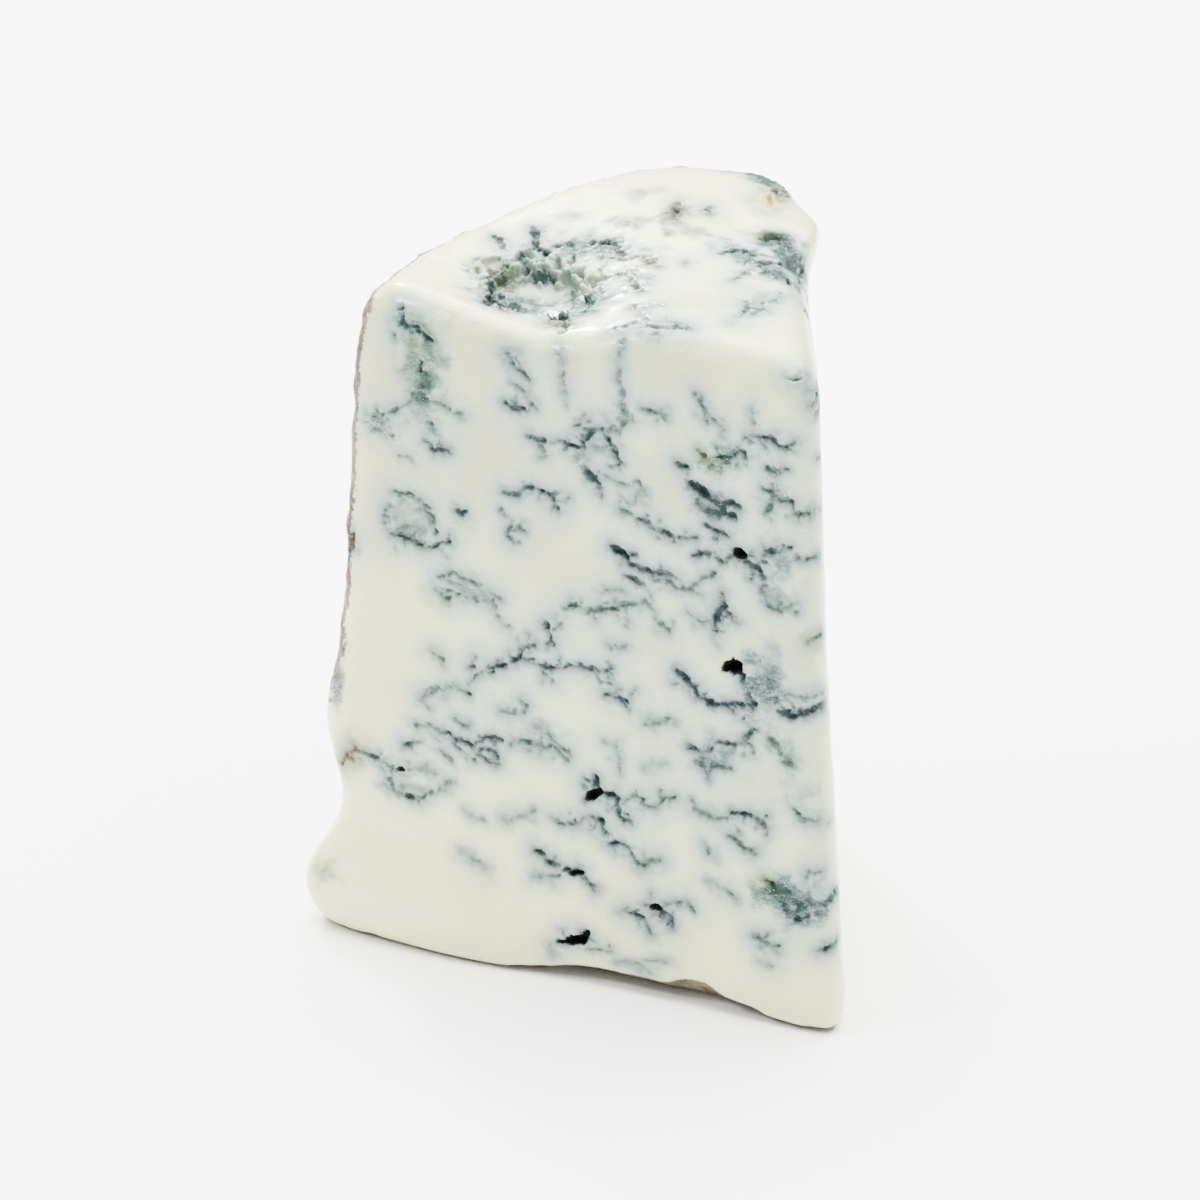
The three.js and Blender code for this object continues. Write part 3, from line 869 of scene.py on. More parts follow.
@dataclass(frozen=True)
class Socket:
    """A number in a node tree. Its operators add Math nodes.

    Attributes:
        graph: the tree that it is in.
        link: the output that carries it.
    """

    graph: "Graph"
    link: bpy.types.NodeSocket

    def math(self, operation: str, *others: "Socket | float") -> "Socket":
        """Adds a Math node on this number.

        Args:
            operation: the node's operation.
            others: its other numbers.

        Returns:
            The result.
        """
        return self.graph.math(operation, self, *others)

    def __add__(self, other: "Socket | float") -> "Socket":
        """This plus another."""
        return self.math("ADD", other)

    def __mul__(self, other: "Socket | float") -> "Socket":
        """This times another."""
        return self.math("MULTIPLY", other)

    def __sub__(self, other: "Socket | float") -> "Socket":
        """This less another."""
        return self.math("SUBTRACT", other)

    def __rsub__(self, other: float) -> "Socket":
        """Another less this."""
        return self.graph.math("SUBTRACT", other, self)

    __radd__ = __add__
    __rmul__ = __mul__

    def ramp(self, low: float, high: float) -> "Socket":
        """A soft step over this number, from 0 to 1.

        Args:
            low: where the step starts.
            high: where it ends.

        Returns:
            The result.
        """
        settings = {"interpolation_type": "SMOOTHSTEP"}
        return self.graph.number("ShaderNodeMapRange", settings, {0: self, 1: low, 2: high})


@dataclass(frozen=True)
class Graph:
    """Adds nodes to one node tree.

    Attributes:
        tree: the material's or the Geometry Nodes tree.
    """

    tree: bpy.types.NodeTree

    def node(self, kind: str, settings: dict | None = None, sockets: dict | None = None) -> bpy.types.Node:
        """Adds a node.

        Args:
            kind: the node's type.
            settings: its properties, set first.
            sockets: values or links of its inputs, by name or number.

        Returns:
            The node.
        """
        made = self.tree.nodes.new(kind)
        for name, value in (settings or {}).items():
            setattr(made, name, value)
        for key, value in (sockets or {}).items():
            if isinstance(value, Socket):
                self.tree.links.new(value.link, made.inputs[key])
            elif isinstance(value, bpy.types.NodeSocket):
                self.tree.links.new(value, made.inputs[key])
            else:
                made.inputs[key].default_value = value
        return made

    def number(
            self, kind: str, settings: dict | None = None, sockets: dict | None = None,
            out: int | str = 0) -> Socket:
        """Adds a node and takes one of its outputs as a number."""
        return Socket(self, self.node(kind, settings, sockets).outputs[out])

    def math(self, operation: str, *values: Socket | float) -> Socket:
        """Adds a Math node.

        Args:
            operation: its operation.
            values: its numbers.

        Returns:
            The result.
        """
        return self.number("ShaderNodeMath", {"operation": operation}, dict(enumerate(values)))

    def grain(
            self, where: bpy.types.NodeSocket, size: float, detail: float = 3.0,
            stretch: float = 0.0) -> Socket:
        """Adds noise around 0.

        Args:
            where: the place, in metres.
            size: the width of its lumps, mm.
            detail: how many finer patterns are added.
            stretch: how far the noise bends its own place.

        Returns:
            The noise, from about -0.5 to 0.5.
        """
        sockets = {"Vector": where, "Scale": 1 / (size * MM), "Detail": detail, "Distortion": stretch}
        return self.number("ShaderNodeTexNoise", None, sockets) - 0.5

    def blend(self, share: Socket | float, low: object, high: object) -> bpy.types.NodeSocket:
        """Mixes two colours.

        Args:
            share: how much of the second.
            low: the first, a colour or a link.
            high: the second, a colour or a link.

        Returns:
            The mixed colour.
        """
        ends = [(*c, 1.0) if isinstance(c, tuple) else c for c in (low, high)]
        made = self.node("ShaderNodeMix", {"data_type": "RGBA"}, {0: share, 6: ends[0], 7: ends[1]})
        return made.outputs[2]


@dataclass(frozen=True)
class BlueVeinedPaste:
    """The finish of the whole wedge: pale paste, blue mould in its cracks, and rind outside.

    Attributes:
        cream: the paste's warm parts.
        pale: the paste's cooler parts, also used for the pale flecks and painted glints in the mould.
        grey_paste: the paste's greyer, darker parts.
        margin: the paste near the rim and the base.
        halo: the paste that mould has tinted.
        haze: the paste in a green bruise.
        films: the colours of a thin growth of mould, one for each tint.
        moulds: the colours of a thick growth of mould, one for each tint.
        pit_shade: the inside of a deep hole, painted near-black: its mould lining, darkened further by
            painted shade of the hole's depth.
        rinds: the rind's colours: ground, bloom, damp grey and ochre.
        crust: the dried edge between the rind and the paste.
        fleck: yellow specks in that edge.
    """

    cream: Colour = (0.575, 0.58, 0.31)
    pale: Colour = (0.46, 0.53, 0.325)
    grey_paste: Colour = (0.34, 0.33, 0.205)
    margin: Colour = (0.72, 0.685, 0.36)
    halo: Colour = (0.24, 0.325, 0.30)
    haze: Colour = (0.165, 0.25, 0.15)
    films: tuple[Colour, ...] = (
        (0.080, 0.118, 0.120), (0.070, 0.128, 0.112), (0.072, 0.112, 0.068), (0.120, 0.118, 0.076),
        (0.500, 0.410, 0.070))
    moulds: tuple[Colour, ...] = (
        (0.020, 0.032, 0.033), (0.020, 0.044, 0.041), (0.024, 0.038, 0.021), (0.042, 0.038, 0.030),
        (0.300, 0.210, 0.030))
    pit_shade: Colour = (0.012, 0.014, 0.013)
    rinds: tuple[Colour, ...] = (
        (0.100, 0.068, 0.036), (0.290, 0.258, 0.180), (0.020, 0.026, 0.022), (0.27, 0.21, 0.04))
    crust: Colour = (0.085, 0.072, 0.046)
    fleck: Colour = (0.42, 0.40, 0.06)

    def build(self) -> bpy.types.Material:
        """Makes the material.

        Returns:
            The material.
        """
        material = bpy.data.materials.new(SLOT)
        material.use_nodes = True
        material.node_tree.nodes.clear()
        graph = Graph(material.node_tree)
        where = graph.node("ShaderNodeTexCoord").outputs["Object"]

        level, tone, tint, bloom, cloud, grit, pit_shade, rind, margin, clear, grey_paste, crust = (
            self._field(graph, name) for name in (
                "vein_level", "vein_tone", "vein_tint", "bloom", "cloud", "grit", "pit_shade", "rind",
                "margin", "clear", "grey_paste", "crust"))

        broad = graph.grain(where, 9.0, 3.0)
        middle = graph.grain(where, 2.4, 4.0, 0.8)
        drawn = graph.node("ShaderNodeMapping", None, {
            "Vector": where, "Rotation": (0.0, math.radians(24), math.radians(-20)),
            "Scale": (0.45, 1.0, 1.0)})
        fine = graph.grain(drawn.outputs[0], 0.62, 4.0, 0.7)
        dust = graph.grain(where, 0.26, 3.0)

        # the mould: a dark line in each crack, a thin growth beside it, and a tinted halo
        line = (level + 0.46 * fine + 0.42 * middle + 0.2 * dust).ramp(-0.3, 0.14)
        dark = line * (tone + 1.1 * middle + 0.6 * fine).ramp(0.25, 0.95)
        clouded = (cloud * 1.1 + 1.1 * middle + 1.4 * fine + 0.8 * dust).ramp(0.75, 1.35)
        dark = dark.math("MAXIMUM", clouded * 0.9)
        dark = dark.math("MAXIMUM", (grit * 0.9 + 1.4 * fine + 1.6 * dust).ramp(0.95, 1.35))
        film = (level + 1.2 * fine + 1.5 * middle).ramp(-1.9, 0.25) * (0.4 + 0.52 * tone)
        smear = (cloud * (1.3 + 2.6 * middle + 1.5 * fine + 0.8 * dust)).ramp(0.0, 1.2)
        film = film.math("MAXIMUM", smear) + grit * (1.2 * fine + 1.5 * dust)
        halo = (bloom * (2.3 + 2.6 * middle + 1.0 * broad) + 0.3 * film).ramp(-0.05, 0.95)
        rind = (rind + rind * (1 - rind) * (5 * middle + 5 * fine)).ramp(0.3, 0.6)

        warmth = (clear * 0.16 + 1.3 * broad + 0.5 * middle).ramp(0.05, 0.85)
        paste = graph.blend(warmth, self.pale, self.cream)
        paste = graph.blend(grey_paste * (1 + 0.9 * broad + 0.5 * middle), paste, self.grey_paste)
        paste = graph.blend(margin * (0.8 + broad), paste, self.margin)
        hue = (tint + 0.25 * middle).math("MAXIMUM", 0)
        stain = graph.blend(hue.ramp(0.25, 0.75), self.halo, self.haze)
        colour = graph.blend(halo * 0.85, paste, stain)
        colour = graph.blend(film.ramp(0.05, 1.0), colour, self._mould_ramp(graph, hue, self.films))
        colour = graph.blend(dark, colour, self._mould_ramp(graph, hue, self.moulds))
        # pale flecks in the mould: partly curd showing between its grains, partly painted glints standing
        # in for highlights
        flecks_and_painted_glints = (1.7 * dust + 0.7 * fine).ramp(0.3, 0.5) * (cloud + 0.5 * grit + 0.25 * film)
        colour = graph.blend(flecks_and_painted_glints * 0.8, colour, self.pale)
        colour = graph.blend(rind, colour, self._rind(graph, where, broad, middle, fine))
        dried = graph.blend((broad + 1.2 * middle).ramp(0.1, 0.25), self.crust, self.fleck)
        colour = graph.blend((crust * (0.9 + 2.0 * fine + 2.0 * middle)).ramp(0.15, 0.6), colour, dried)
        # painted shade: holes are painted near-black, darker than any mould, standing in for the shade of
        # their depth
        colour = graph.blend((pit_shade + 0.3 * fine).ramp(0.35, 0.75), colour, self.pit_shade)

        wet = (broad + 0.8 * middle).ramp(-0.1, 0.3)
        gloss = 0.34 + 0.25 * rind + 0.15 * fine - 0.1 * wet
        height = 0.08 * fine + 0.05 * dust * (0.5 + grit) - 0.12 * dark - 0.1 * film + 0.16 * middle
        height = height + rind * (0.8 * fine + 0.4 * dust + 0.8 * middle)
        bump = graph.node("ShaderNodeBump", None, {"Strength": 1.0, "Distance": MM, "Height": height})
        moist = graph.node("ShaderNodeBsdfPrincipled", None, {
            "Base Color": colour, "Roughness": gloss, "Normal": bump.outputs[0],
            "Coat Weight": (1 - rind) * (0.2 + 0.5 * wet), "Coat Roughness": 0.12,
            "IOR": 1.45, "Subsurface Weight": 0.2, "Subsurface Radius": (1.0, 0.8, 0.55),
            "Subsurface Scale": 0.8 * MM})
        matt = graph.node("ShaderNodeBsdfPrincipled", None, {
            "Base Color": colour, "Roughness": 0.85, "Normal": bump.outputs[0], "IOR": 1.15})
        dusty = dark.math("MAXIMUM", film * 0.6).math("MAXIMUM", pit_shade)
        surface = graph.node("ShaderNodeMixShader", None, {
            0: dusty, 1: moist.outputs[0], 2: matt.outputs[0]})
        graph.node("ShaderNodeOutputMaterial", None, {"Surface": surface.outputs[0]})
        return material

    def _field(self, graph: Graph, name: str) -> Socket:
        """Reads one of the mesh's fields."""
        return graph.number("ShaderNodeAttribute", {"attribute_name": name}, None, "Fac")

    def _mould_ramp(self, graph: Graph, along: Socket, colours: tuple[Colour, ...]) -> bpy.types.NodeSocket:
        """The mould's colour for a tint.

        Args:
            graph: the material's tree.
            along: the tint, 0 to 1.
            colours: one for each tint.

        Returns:
            The colour.
        """
        made = graph.node("ShaderNodeValToRGB", None, {0: along})
        stops = made.color_ramp.elements
        for tint, colour in zip(Tint, colours):
            stop = stops.new(min(tint.value, 0.98))
            stop.color = (*colour, 1.0)
        stops.remove(stops[0])
        stops.remove(stops[-1])
        return made.outputs[0]

    def _rind(
            self, graph: Graph, where: bpy.types.NodeSocket, broad: Socket, middle: Socket,
            fine: Socket) -> bpy.types.NodeSocket:
        """The rind's colour.

        Args:
            graph: the material's tree.
            where: the place.
            broad: noise with wide lumps.
            middle: noise with middle lumps.
            fine: noise with small lumps.

        Returns:
            The colour.
        """
        ground, dusting, damp, ochre = self.rinds
        spots = graph.grain(where, 4.0, 2.0, 0.8)
        colour = graph.blend((broad * 1.2 + middle + 0.7 * fine).ramp(-0.3, 0.4), ground, dusting)
        colour = graph.blend((spots + 0.8 * fine + 0.4 * middle).ramp(0.0, 0.26) * 0.85, colour, damp)
        colour = graph.blend((fine - 0.6 * spots + 0.3 * middle).ramp(0.08, 0.3) * 0.6, colour, dusting)
        return graph.blend((middle - spots + fine).ramp(0.2, 0.5) * 0.8, colour, ochre)


@dataclass(frozen=True)
class PaleFloor:
    """The finish of the floor: smooth and nearly white."""

    colour: Colour = (0.90, 0.90, 0.895)
    roughness: float = 0.75

    def build(self) -> bpy.types.Material:
        """Makes the material.

        Returns:
            The material.
        """
        material = bpy.data.materials.new("pale_floor")
        material.use_nodes = True
        shader = material.node_tree.nodes["Principled BSDF"]
        shader.inputs["Base Color"].default_value = (*self.colour, 1.0)
        shader.inputs["Roughness"].default_value = self.roughness
        shader.inputs["Specular IOR Level"].default_value = 0.15
        return material


@dataclass
class Relief:
    """The Geometry Nodes tree that roughens the wedge's surface. Each height is an input.

    Attributes:
        lumps: height of the broad lumps left by the knife, mm.
        pores: height of the paste's fine unevenness, mm.
        grit: height of the mould's grains, mm.
        wrinkles: height of the rind's wrinkles, mm.
        tears: height of the unevenness of a torn edge, mm.
    """

    lumps: float = 0.5
    pores: float = 0.07
    grit: float = 0.6
    wrinkles: float = 1.4
    tears: float = 0.9

    def build(self, material: bpy.types.Material) -> tuple[bpy.types.NodeTree, dict[str, float]]:
        """Makes the tree.

        Args:
            material: what the surface gets.

        Returns:
            The tree, and the value of each of its inputs by the input's identifier.
        """
        tree = bpy.data.node_groups.new("wedge_relief", "GeometryNodeTree")
        tree.interface.new_socket("Geometry", in_out="INPUT", socket_type="NodeSocketGeometry")
        values = {}
        for name, size in asdict(self).items():
            made = tree.interface.new_socket(name.title(), in_out="INPUT", socket_type="NodeSocketFloat")
            values[made.identifier] = size
        tree.interface.new_socket("Geometry", in_out="OUTPUT", socket_type="NodeSocketGeometry")
        graph = Graph(tree)
        given = graph.node("NodeGroupInput").outputs
        sizes = {name: Socket(graph, given[name.title()]) for name in asdict(self)}
        where = graph.node("GeometryNodeInputPosition").outputs[0]
        grit = self._field(graph, "grit")
        rind = self._field(graph, "rind")
        free = 1 - self._field(graph, "seat")

        lumps = graph.grain(where, 11.0, 2.0) + 0.45 * graph.grain(where, 4.5, 2.0)
        pores = graph.grain(where, 1.3, 3.0)
        cells = graph.number("ShaderNodeTexVoronoi", None, {"Vector": where, "Scale": 1 / (0.95 * MM)})
        grains = (0.55 - cells) + 0.9 * graph.grain(where, 1.6, 3.0)
        wrinkles = graph.grain(where, 6.5, 4.0, 0.6) + 0.5 * graph.grain(where, 2.2, 3.0)
        height = sizes["lumps"] * lumps + sizes["pores"] * pores + sizes["grit"] * grains * grit
        height = height + sizes["tears"] * graph.grain(where, 2.4, 3.0) * self._field(graph, "torn")
        height = (height + sizes["wrinkles"] * (wrinkles + 0.3) * rind) * free
        normal = graph.node("GeometryNodeInputNormal").outputs[0]
        shift = graph.node(
            "ShaderNodeVectorMath", {"operation": "SCALE"}, {0: normal, "Scale": height * MM})
        moved = graph.node(
            "GeometryNodeSetPosition", None, {"Geometry": given[0], "Offset": shift.outputs[0]})
        real = graph.node("GeometryNodeRealizeInstances", None, {0: moved.outputs[0]})
        dressed = graph.node(
            "GeometryNodeSetMaterial", None, {"Geometry": real.outputs[0], "Material": material})
        graph.node("NodeGroupOutput", None, {0: dressed.outputs[0]})
        return tree, values

    def _field(self, graph: Graph, name: str) -> Socket:
        """Reads one of the mesh's fields."""
        return graph.number("GeometryNodeInputNamedAttribute", {"data_type": "FLOAT"}, {"Name": name})


def evaluated_mesh(piece: bpy.types.Object) -> bpy.types.Mesh:
    """A plain mesh of an object's evaluated shape.

    Args:
        piece: the object with modifiers.

    Returns:
        The mesh.
    """
    bpy.context.view_layer.update()
    graph = bpy.context.evaluated_depsgraph_get()
    return bpy.data.meshes.new_from_object(piece.evaluated_get(graph))


@dataclass
class CheeseWedge:
    """The wedge itself.

    Attributes:
        voxel: size of the even mesh that the CAD surface becomes, mm.
        smoothing: rounds of smoothing after that.
        fine_steps: how close to a vein each round of refining reaches, mm.
        crack_depth: depth of a dark crack for each mm of its width.
        arch: where the foot of the front cut is lifted: its middle, half width and height, mm.
        slack: a wider and flatter lift, written in the same way.
        hem_top: up to what height the foot is lifted, mm.
        hem_depth: from where to where the lift grows towards the front, in y, mm.
        torn_beyond: from where to where the thin end's edge becomes torn, in x, mm.
        torn_below: the same in z, mm.
        seat: how far above the floor the roughening starts and is at its full height, mm.
        top_from: the top lies above this height, mm.
        front_below: the front cut's holes lie below this height, mm.
    """

    voxel: float = 0.95
    smoothing: int = 5
    fine_steps: tuple[float, ...] = (1.1, 0.42)
    crack_depth: float = 0.55
    arch: tuple[float, float, float] = (19.0, 4.6, 1.3)
    slack: tuple[float, float, float] = (13.0, 22.0, 1.9)
    hem_top: float = 8.0
    hem_depth: Point = (-24.0, -28.0)
    torn_beyond: Point = (35.0, 38.0)
    torn_below: Point = (84.0, 76.0)
    seat: Point = (0.3, 1.6)
    top_from: float = 76.0
    front_below: float = 86.0

    def build(self) -> bpy.types.Object:
        """Makes the wedge's finished piece.

        Returns:
            The piece.
        """
        piece = self._even_skin()
        network = self._grow_veins(piece.data)
        self._refine(piece.data, network)
        self._store_fields(piece.data, network)
        self._carve(piece.data)
        self._roughen(piece)
        return piece

    def dress(self, piece: bpy.types.Object) -> None:
        """Gives the piece its place in the model.

        Args:
            piece: the wedge.
        """
        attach(piece, "root")
        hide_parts(NODE)

    def _even_skin(self) -> bpy.types.Object:
        """Makes the CAD surface over as an evenly divided, smooth and closed mesh.

        Returns:
            The new piece, with no modifier.
        """
        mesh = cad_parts[NODE].data.copy()
        sheet = bmesh.new()
        sheet.from_mesh(mesh)
        bmesh.ops.remove_doubles(sheet, verts=sheet.verts, dist=0.001 * MM)
        bmesh.ops.recalc_face_normals(sheet, faces=sheet.faces)
        sheet.to_mesh(mesh)
        sheet.free()
        mesh.materials.clear()
        piece = bpy.data.objects.new("cheese_wedge_skin", mesh)
        bpy.context.scene.collection.objects.link(piece)
        rounder = piece.modifiers.new("rounder", "SUBSURF")
        rounder.levels = rounder.render_levels = 1
        even = piece.modifiers.new("even", "REMESH")
        even.mode = "VOXEL"
        even.voxel_size = self.voxel * MM
        soft = piece.modifiers.new("soft", "SMOOTH")
        soft.iterations = self.smoothing
        even_mesh = evaluated_mesh(piece)
        bpy.data.objects.remove(piece)
        made = bpy.data.objects.new("blue_cheese_wedge", even_mesh)
        bpy.context.scene.collection.objects.link(made)
        return made

    def _grow_veins(self, mesh: bpy.types.Mesh) -> VeinNetwork:
        """Draws every vein on the skin.

        Args:
            mesh: the skin.

        Returns:
            The network.
        """
        points = [v.co.copy() for v in mesh.vertices]
        faces = [tuple(p.vertices) for p in mesh.polygons]
        network = VeinNetwork(BVHTree.FromPolygons(points, faces))
        for one in FRONT_VEINS:
            network.draw(Face.FRONT, one)
        for one in TOP_VEINS:
            network.draw(Face.TOP, one)
        network.scatter(SECOND_CUT_VEINS)
        return network

    def _refine(self, mesh: bpy.types.Mesh, network: VeinNetwork) -> None:
        """Divides the mesh finely beside the veins and in the mouldy hollows.

        Args:
            mesh: the skin.
            network: the veins.
        """
        tree = network.tree()
        sheet = bmesh.new()
        sheet.from_mesh(mesh)
        for reach in self.fine_steps:
            near = []
            for edge in sheet.edges:
                middle = (edge.verts[0].co + edge.verts[1].co) / 2
                _, i, distance = tree.find(middle)
                if distance - network.widths[i] / 2 < reach * MM or self._in_hollow(middle, reach):
                    near.append(edge)
            bmesh.ops.subdivide_edges(sheet, edges=near, cuts=1, use_grid_fill=True)
        bmesh.ops.triangulate(sheet, faces=sheet.faces)
        sheet.to_mesh(mesh)
        sheet.free()

    def _in_hollow(self, place: Vector, reach: float) -> bool:
        """Whether a place is in the top's crumbly hollow or in a hole of the front.

        Args:
            place: the place, m.
            reach: how far around a hole still counts, mm.

        Returns:
            True inside.
        """
        x, y, z = (c / MM for c in place)
        if z > self.top_from and y > -24:
            across = (x - CRUMBLY_MIDDLE[0]) / CRUMBLY_RADII[0]
            along = (y - CRUMBLY_MIDDLE[1]) / CRUMBLY_RADII[1]
            return math.hypot(across, along) < 1
        if y > -20 or z > self.front_below:
            return False
        for hole in FRONT_HOLLOWS:
            if hole.dark > 0.5 and math.hypot(x - hole.at[0], z - hole.at[1]) < hole.radii[0] + reach:
                return True
        return False

    def _store_fields(self, mesh: bpy.types.Mesh, network: VeinNetwork) -> None:
        """Works out and stores the fields that the relief and the finish read.

        Args:
            mesh: the refined mesh.
            network: the veins.
        """
        spots = SurfacePoints.read(mesh)
        fields = self._vein_fields(mesh, network)
        self._add_patches(fields, spots)
        fields["grey_paste"] = self._grey_paste_field(spots)
        fields["pit_shade"] = self._pit_shade_field(spots)
        fields["rind"], fields["crust"] = self._rind_fields(spots)
        fields["margin"] = self._margin_field(spots)
        x, _, z = spots.places.T
        fields["torn"] = smoothstep(*self.torn_beyond, x) * smoothstep(*self.torn_below, z)
        fields["seat"] = smoothstep(self.seat[1], self.seat[0], z)
        for name, values in fields.items():
            made = mesh.attributes.new(name, "FLOAT", "POINT")
            made.data.foreach_set("value", values.astype(np.float32))

    def _vein_fields(self, mesh: bpy.types.Mesh, network: VeinNetwork) -> dict[str, np.ndarray]:
        """How near each point is to a vein, and what the mould around it is like.

        Args:
            mesh: the refined mesh.
            network: the veins.

        Returns:
            The fields by name, with empty ones for the patches.
        """
        count = len(mesh.vertices)
        level = np.full(count, FAR_LEVEL)
        tone = np.zeros(count)
        tint = np.zeros(count)
        bloom = np.zeros(count)
        clear = np.full(count, FAR_GAP)
        tree = network.tree()
        for i, vertex in enumerate(mesh.vertices):
            best = -1.0
            for _, j, distance in tree.find_n(vertex.co, NEAREST):
                gap = distance / MM
                level[i] = max(level[i], network.widths[j] / MM / 2 - gap)
                pull = (network.tones[j] + 0.2) * math.exp(-(gap / TINT_REACH) ** 2)
                if pull > best:
                    best = pull
                    tone[i] = network.tones[j]
                    tint[i] = network.tints[j]
                haze = (0.1 + 0.42 * network.tones[j]) * math.exp(-(gap / BLOOM_REACH) ** 2)
                bloom[i] = max(bloom[i], haze)
                clear[i] = min(clear[i], gap)
        return {
            "vein_level": level, "vein_tone": tone, "vein_tint": tint, "bloom": bloom,
            "clear": clear, "grit": np.zeros(count), "cloud": np.zeros(count)}

    def _add_patches(self, fields: dict[str, np.ndarray], spots: SurfacePoints) -> None:
        """Adds the clouds of mould to the fields.

        Args:
            fields: the fields by name, which change.
            spots: the mesh's points.
        """
        level = fields["vein_level"]
        ragged = rough(spots.places, 2.2, 3.3)
        for face, patches in PATCHES:
            weight, places = spots.on_face(face)
            for patch in patches:
                reach = ellipse_reach(patch.at, patch.radii, patch.turn, places)
                reach = np.maximum(reach + 0.8 * ragged, 0)
                cover = weight * np.exp(-(0.8 * reach) ** 2)
                share = np.clip(1.6 * cover - 0.1, 0, 1) * (1 - 0.6 * (level > -0.3))
                fields["vein_tint"] += (patch.tint.value - fields["vein_tint"]) * share
                tone = fields["vein_tone"]
                fields["vein_tone"] = np.where(level < -1.2, np.maximum(tone, cover), tone)
                fields["bloom"] = np.maximum(fields["bloom"], 0.8 * patch.strength * cover)
                fields["cloud"] = np.maximum(fields["cloud"], patch.strength * cover)
                fields["grit"] = np.maximum(fields["grit"], patch.grain * cover)

    def _grey_paste_field(self, spots: SurfacePoints) -> np.ndarray:
        """How far the paste's colour is greyer and darker.

        Args:
            spots: the mesh's points.

        Returns:
            The field, 0 to 1.
        """
        grey_paste = np.zeros(len(spots.places))
        weight, places = spots.on_face(Face.FRONT)
        for patch in GREY_PASTE_PATCHES:
            reach = ellipse_reach(patch.at, patch.radii, patch.turn, places)
            grey_paste = np.maximum(grey_paste, patch.strength * weight * np.exp(-(0.9 * reach) ** 2))
        return grey_paste

    def _pit_shade_field(self, spots: SurfacePoints) -> np.ndarray:
        """How much painted shade the holes put on each point, standing in for the shade of their depth.

        Args:
            spots: the mesh's points.

        Returns:
            The field, 0 to 1.
        """
        pit_shade = np.zeros(len(spots.places))
        for face, hollows in HOLLOWS:
            weight, places = spots.on_face(face)
            for hollow in hollows:
                reach = self._ragged_reach(hollow, spots, weight, places)
                pit_shade = np.maximum(pit_shade, weight * hollow.dark * smoothstep(1.3, 0.85, reach))
        return pit_shade

    def _rind_fields(self, spots: SurfacePoints) -> tuple[np.ndarray, np.ndarray]:
        """Where the rind is, and where its dried edge is.

        Args:
            spots: the mesh's points.

        Returns:
            Two fields, 0 to 1.
        """
        rim = spots.on_rim()
        _, y, z = spots.places.T
        partly = (rim > 0) & (rim < 1)
        rim[partly] = smoothstep(0.3, 0.7, rim[partly] + 0.7 * rough(spots.places[partly], 2.6, 6.1))
        kept = 1 - smoothstep(*BARE_BELOW, z) * smoothstep(*BARE_BEFORE, y)
        crust = 4 * rim * (1 - rim) * kept
        base = smoothstep(-0.7, -0.95, spots.normals[:, 2])
        return np.maximum(rim * kept, base), crust

    def _margin_field(self, spots: SurfacePoints) -> np.ndarray:
        """Where the paste is yellower: near the rim, near the base, and on the top's left.

        Args:
            spots: the mesh's points.

        Returns:
            The field, 0 to 1.
        """
        x, _, z = spots.places.T
        side = smoothstep(10, 1, x + 37.5 - 0.06 * z)
        low = smoothstep(34, 5, z + 0.35 * x)
        margin = np.maximum(low, side * smoothstep(62, 30, z))
        top = 0.75 * smoothstep(0.5, 0.9, spots.normals[:, 2]) * smoothstep(14, 0, x)
        return np.maximum(margin, top)

    def _ragged_reach(
            self, hollow: Hollow, spots: SurfacePoints, weight: np.ndarray,
            places: np.ndarray) -> np.ndarray:
        """Distance from a hollow's middle, 1 on its ragged outline.

        Args:
            hollow: the hollow.
            spots: the mesh's points.
            weight: how far each point belongs to the hollow's face.
            places: each point's place on that face.

        Returns:
            The distance of each point.
        """
        reach = ellipse_reach(hollow.at, hollow.radii, hollow.turn, places)
        inside = (reach < 1.8) & (weight > 0.02)
        reach[inside] += 0.45 * rough(spots.places[inside], 1.3, 8.8)
        return reach

    def _field(self, mesh: bpy.types.Mesh, name: str) -> np.ndarray:
        """Reads a stored field.

        Args:
            mesh: the mesh that holds it.
            name: its name.

        Returns:
            Its value at each point.
        """
        values = np.empty(len(mesh.vertices), np.float32)
        mesh.attributes[name].data.foreach_get("value", values)
        return values.astype(float)

    def _carve(self, mesh: bpy.types.Mesh) -> None:
        """Sinks the cracks, holes and pockets, and shapes the foot of the front cut.

        Args:
            mesh: the refined mesh with its fields.
        """
        spots = SurfacePoints.read(mesh)
        level = self._field(mesh, "vein_level")
        tone = self._field(mesh, "vein_tone")
        near = level > -1.2
        shake = np.zeros(len(level))
        shake[near] = rough(spots.places[near], 0.9, 4.2)
        crack = smoothstep(-0.25, 0.35, level + 0.35 * shake)
        sink = crack * self.crack_depth * (0.35 + 0.8 * tone) * (1 + 0.8 * shake)
        swell = smoothstep(-1.1, -0.35, level) * (1 - crack) * 0.07 * tone
        depth = sink - swell
        for face, hollows in HOLLOWS:
            weight, places = spots.on_face(face)
            for hollow in hollows:
                ragged = self._ragged_reach(hollow, spots, weight, places)
                bowl = weight * smoothstep(1.15, 0.55, ragged)
                rim = weight * smoothstep(1.6, 1.2, ragged) * smoothstep(0.9, 1.15, ragged)
                if hollow.depth < 0:
                    depth = depth + bowl * hollow.depth
                else:
                    depth = np.maximum(depth, bowl * hollow.depth) - rim * 0.06 * hollow.depth
        moved = spots.places - spots.normals * depth[:, None]
        moved[:, 2] += self._hem_lift(spots)
        mesh.vertices.foreach_set("co", (moved * MM).ravel())
        mesh.update()

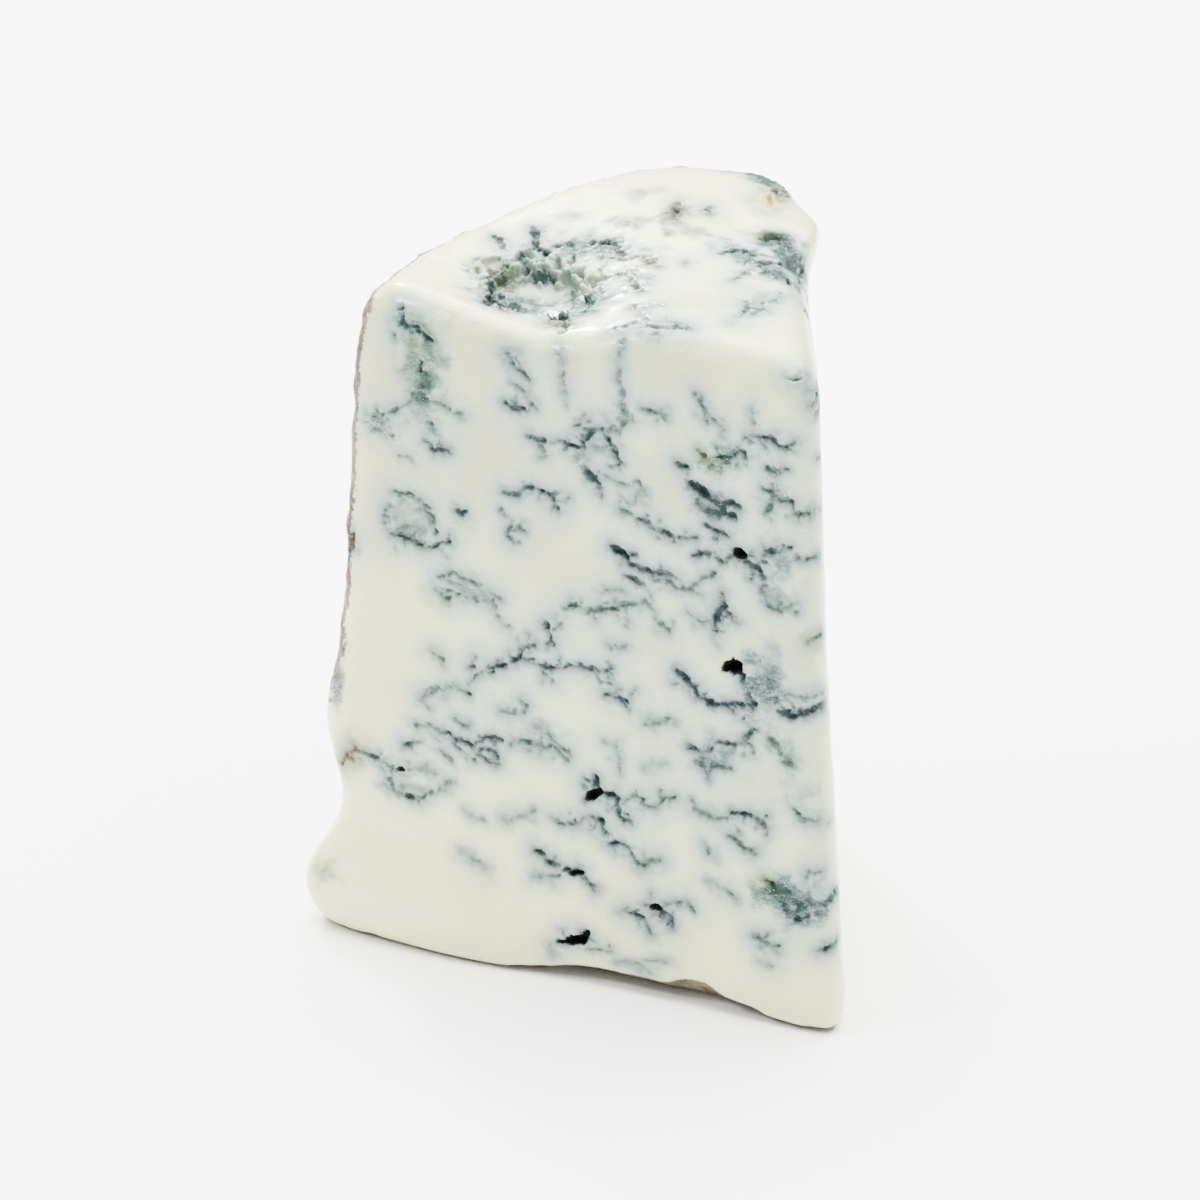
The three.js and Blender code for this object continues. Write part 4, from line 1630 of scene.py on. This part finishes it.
    def _hem_lift(self, spots: SurfacePoints) -> np.ndarray:
        """How far the foot of the front cut is lifted off the floor.

        Args:
            spots: the mesh's points.

        Returns:
            The lift of each point, mm.
        """
        x, y, z = spots.places.T
        lift = 0.45 * rough(np.stack([x, x * 0, x * 0], axis=1), 7.0, 2.2)
        for middle, half, height in (self.arch, self.slack):
            lift = lift + height * smoothstep(half, 0.25 * half, np.abs(x - middle))
        return np.maximum(lift, 0) * smoothstep(self.hem_top, 0, z) * smoothstep(*self.hem_depth, y)

    def _roughen(self, piece: bpy.types.Object) -> None:
        """Runs the relief over the piece and keeps the plain result.

        Args:
            piece: the wedge, whose mesh is swapped.
        """
        tree, values = Relief().build(BlueVeinedPaste().build())
        relief = piece.modifiers.new("relief", "NODES")
        relief.node_group = tree
        for identifier, value in values.items():
            relief[identifier] = value
        mesh = evaluated_mesh(piece)
        piece.modifiers.clear()
        piece.data = mesh
        mesh.shade_smooth()


@dataclass(frozen=True)
class Softbox:
    """A square light.

    Attributes:
        name: its name.
        place: where it hangs, m.
        aim: where it faces, m.
        size: its side, m.
        power: in watts.
    """

    name: str
    place: tuple[float, float, float]
    aim: tuple[float, float, float]
    size: float
    power: float


@dataclass
class Studio:
    """The floor, the camera and the lights.

    Attributes:
        azimuth: degrees from the front to the camera, towards the thin end.
        elevation: degrees that the camera looks down.
        distance: from the camera to the place it aims at, mm.
        aim: that place, mm.
        lens: focal length, mm.
        softboxes: the lights.
        sky: how bright the white sky is.
        floor_side: the floor's side, m.
    """

    azimuth: float = 27.0
    elevation: float = 22.0
    distance: float = 590.0
    aim: tuple[float, float, float] = (-8.3, -1.2, 40.9)
    lens: float = 135.0
    softboxes: tuple[Softbox, ...] = (
        Softbox("overhead", (-0.15, 0.5, 1.7), (0.0, 0.0, 0.0), size=2.6, power=400.0),
        Softbox("key", (-0.85, -0.75, 1.0), (0.0, 0.0, 0.04), size=0.2, power=15.0),
        Softbox("rear_strip", (-1.25, 1.05, 1.2), (0.0, 0.0, 0.08), size=0.3, power=60.0),
    )
    sky: float = 0.8
    floor_side: float = 8.0

    def build(self) -> None:
        """Makes the floor, the camera, the lights and the sky."""
        self._floor()
        self._camera()
        for box in self.softboxes:
            self._light(box)
        world = bpy.data.worlds.new("studio")
        bpy.context.scene.world = world
        world.use_nodes = True
        background = world.node_tree.nodes["Background"]
        background.inputs["Color"].default_value = (1.0, 1.0, 1.0, 1.0)
        background.inputs["Strength"].default_value = self.sky

    def _floor(self) -> None:
        """Makes the floor."""
        bpy.ops.mesh.primitive_plane_add(size=self.floor_side)
        floor = bpy.context.object
        floor.name = "floor"
        floor.data.materials.append(PaleFloor().build())

    def _camera(self) -> None:
        """Makes the camera."""
        a = math.radians(self.azimuth)
        e = math.radians(self.elevation)
        back = Vector((math.sin(a) * math.cos(e), -math.cos(a) * math.cos(e), math.sin(e)))
        data = bpy.data.cameras.new("camera")
        data.lens = self.lens
        data.clip_start = 0.01
        camera = bpy.data.objects.new("camera", data)
        camera.location = (Vector(self.aim) + back * self.distance) * MM
        camera.rotation_euler = back.to_track_quat("Z", "Y").to_euler()
        bpy.context.scene.collection.objects.link(camera)
        bpy.context.scene.camera = camera

    def _light(self, box: Softbox) -> None:
        """Makes a light.

        Args:
            box: what it is like.
        """
        data = bpy.data.lights.new(box.name, "AREA")
        data.size = box.size
        data.energy = box.power
        light = bpy.data.objects.new(box.name, data)
        light.location = box.place
        facing = Vector(box.place) - Vector(box.aim)
        light.rotation_euler = facing.to_track_quat("Z", "Y").to_euler()
        bpy.context.scene.collection.objects.link(light)


def main() -> None:
    """Builds the wedge and the studio around it."""
    logging.basicConfig(level=logging.INFO, format="%(message)s")
    wedge = CheeseWedge()
    piece = wedge.build()
    wedge.dress(piece)
    LOG.info("%s: %d triangles", piece.name, len(piece.data.polygons))
    Studio().build()


if __name__ == "__main__":
    main()
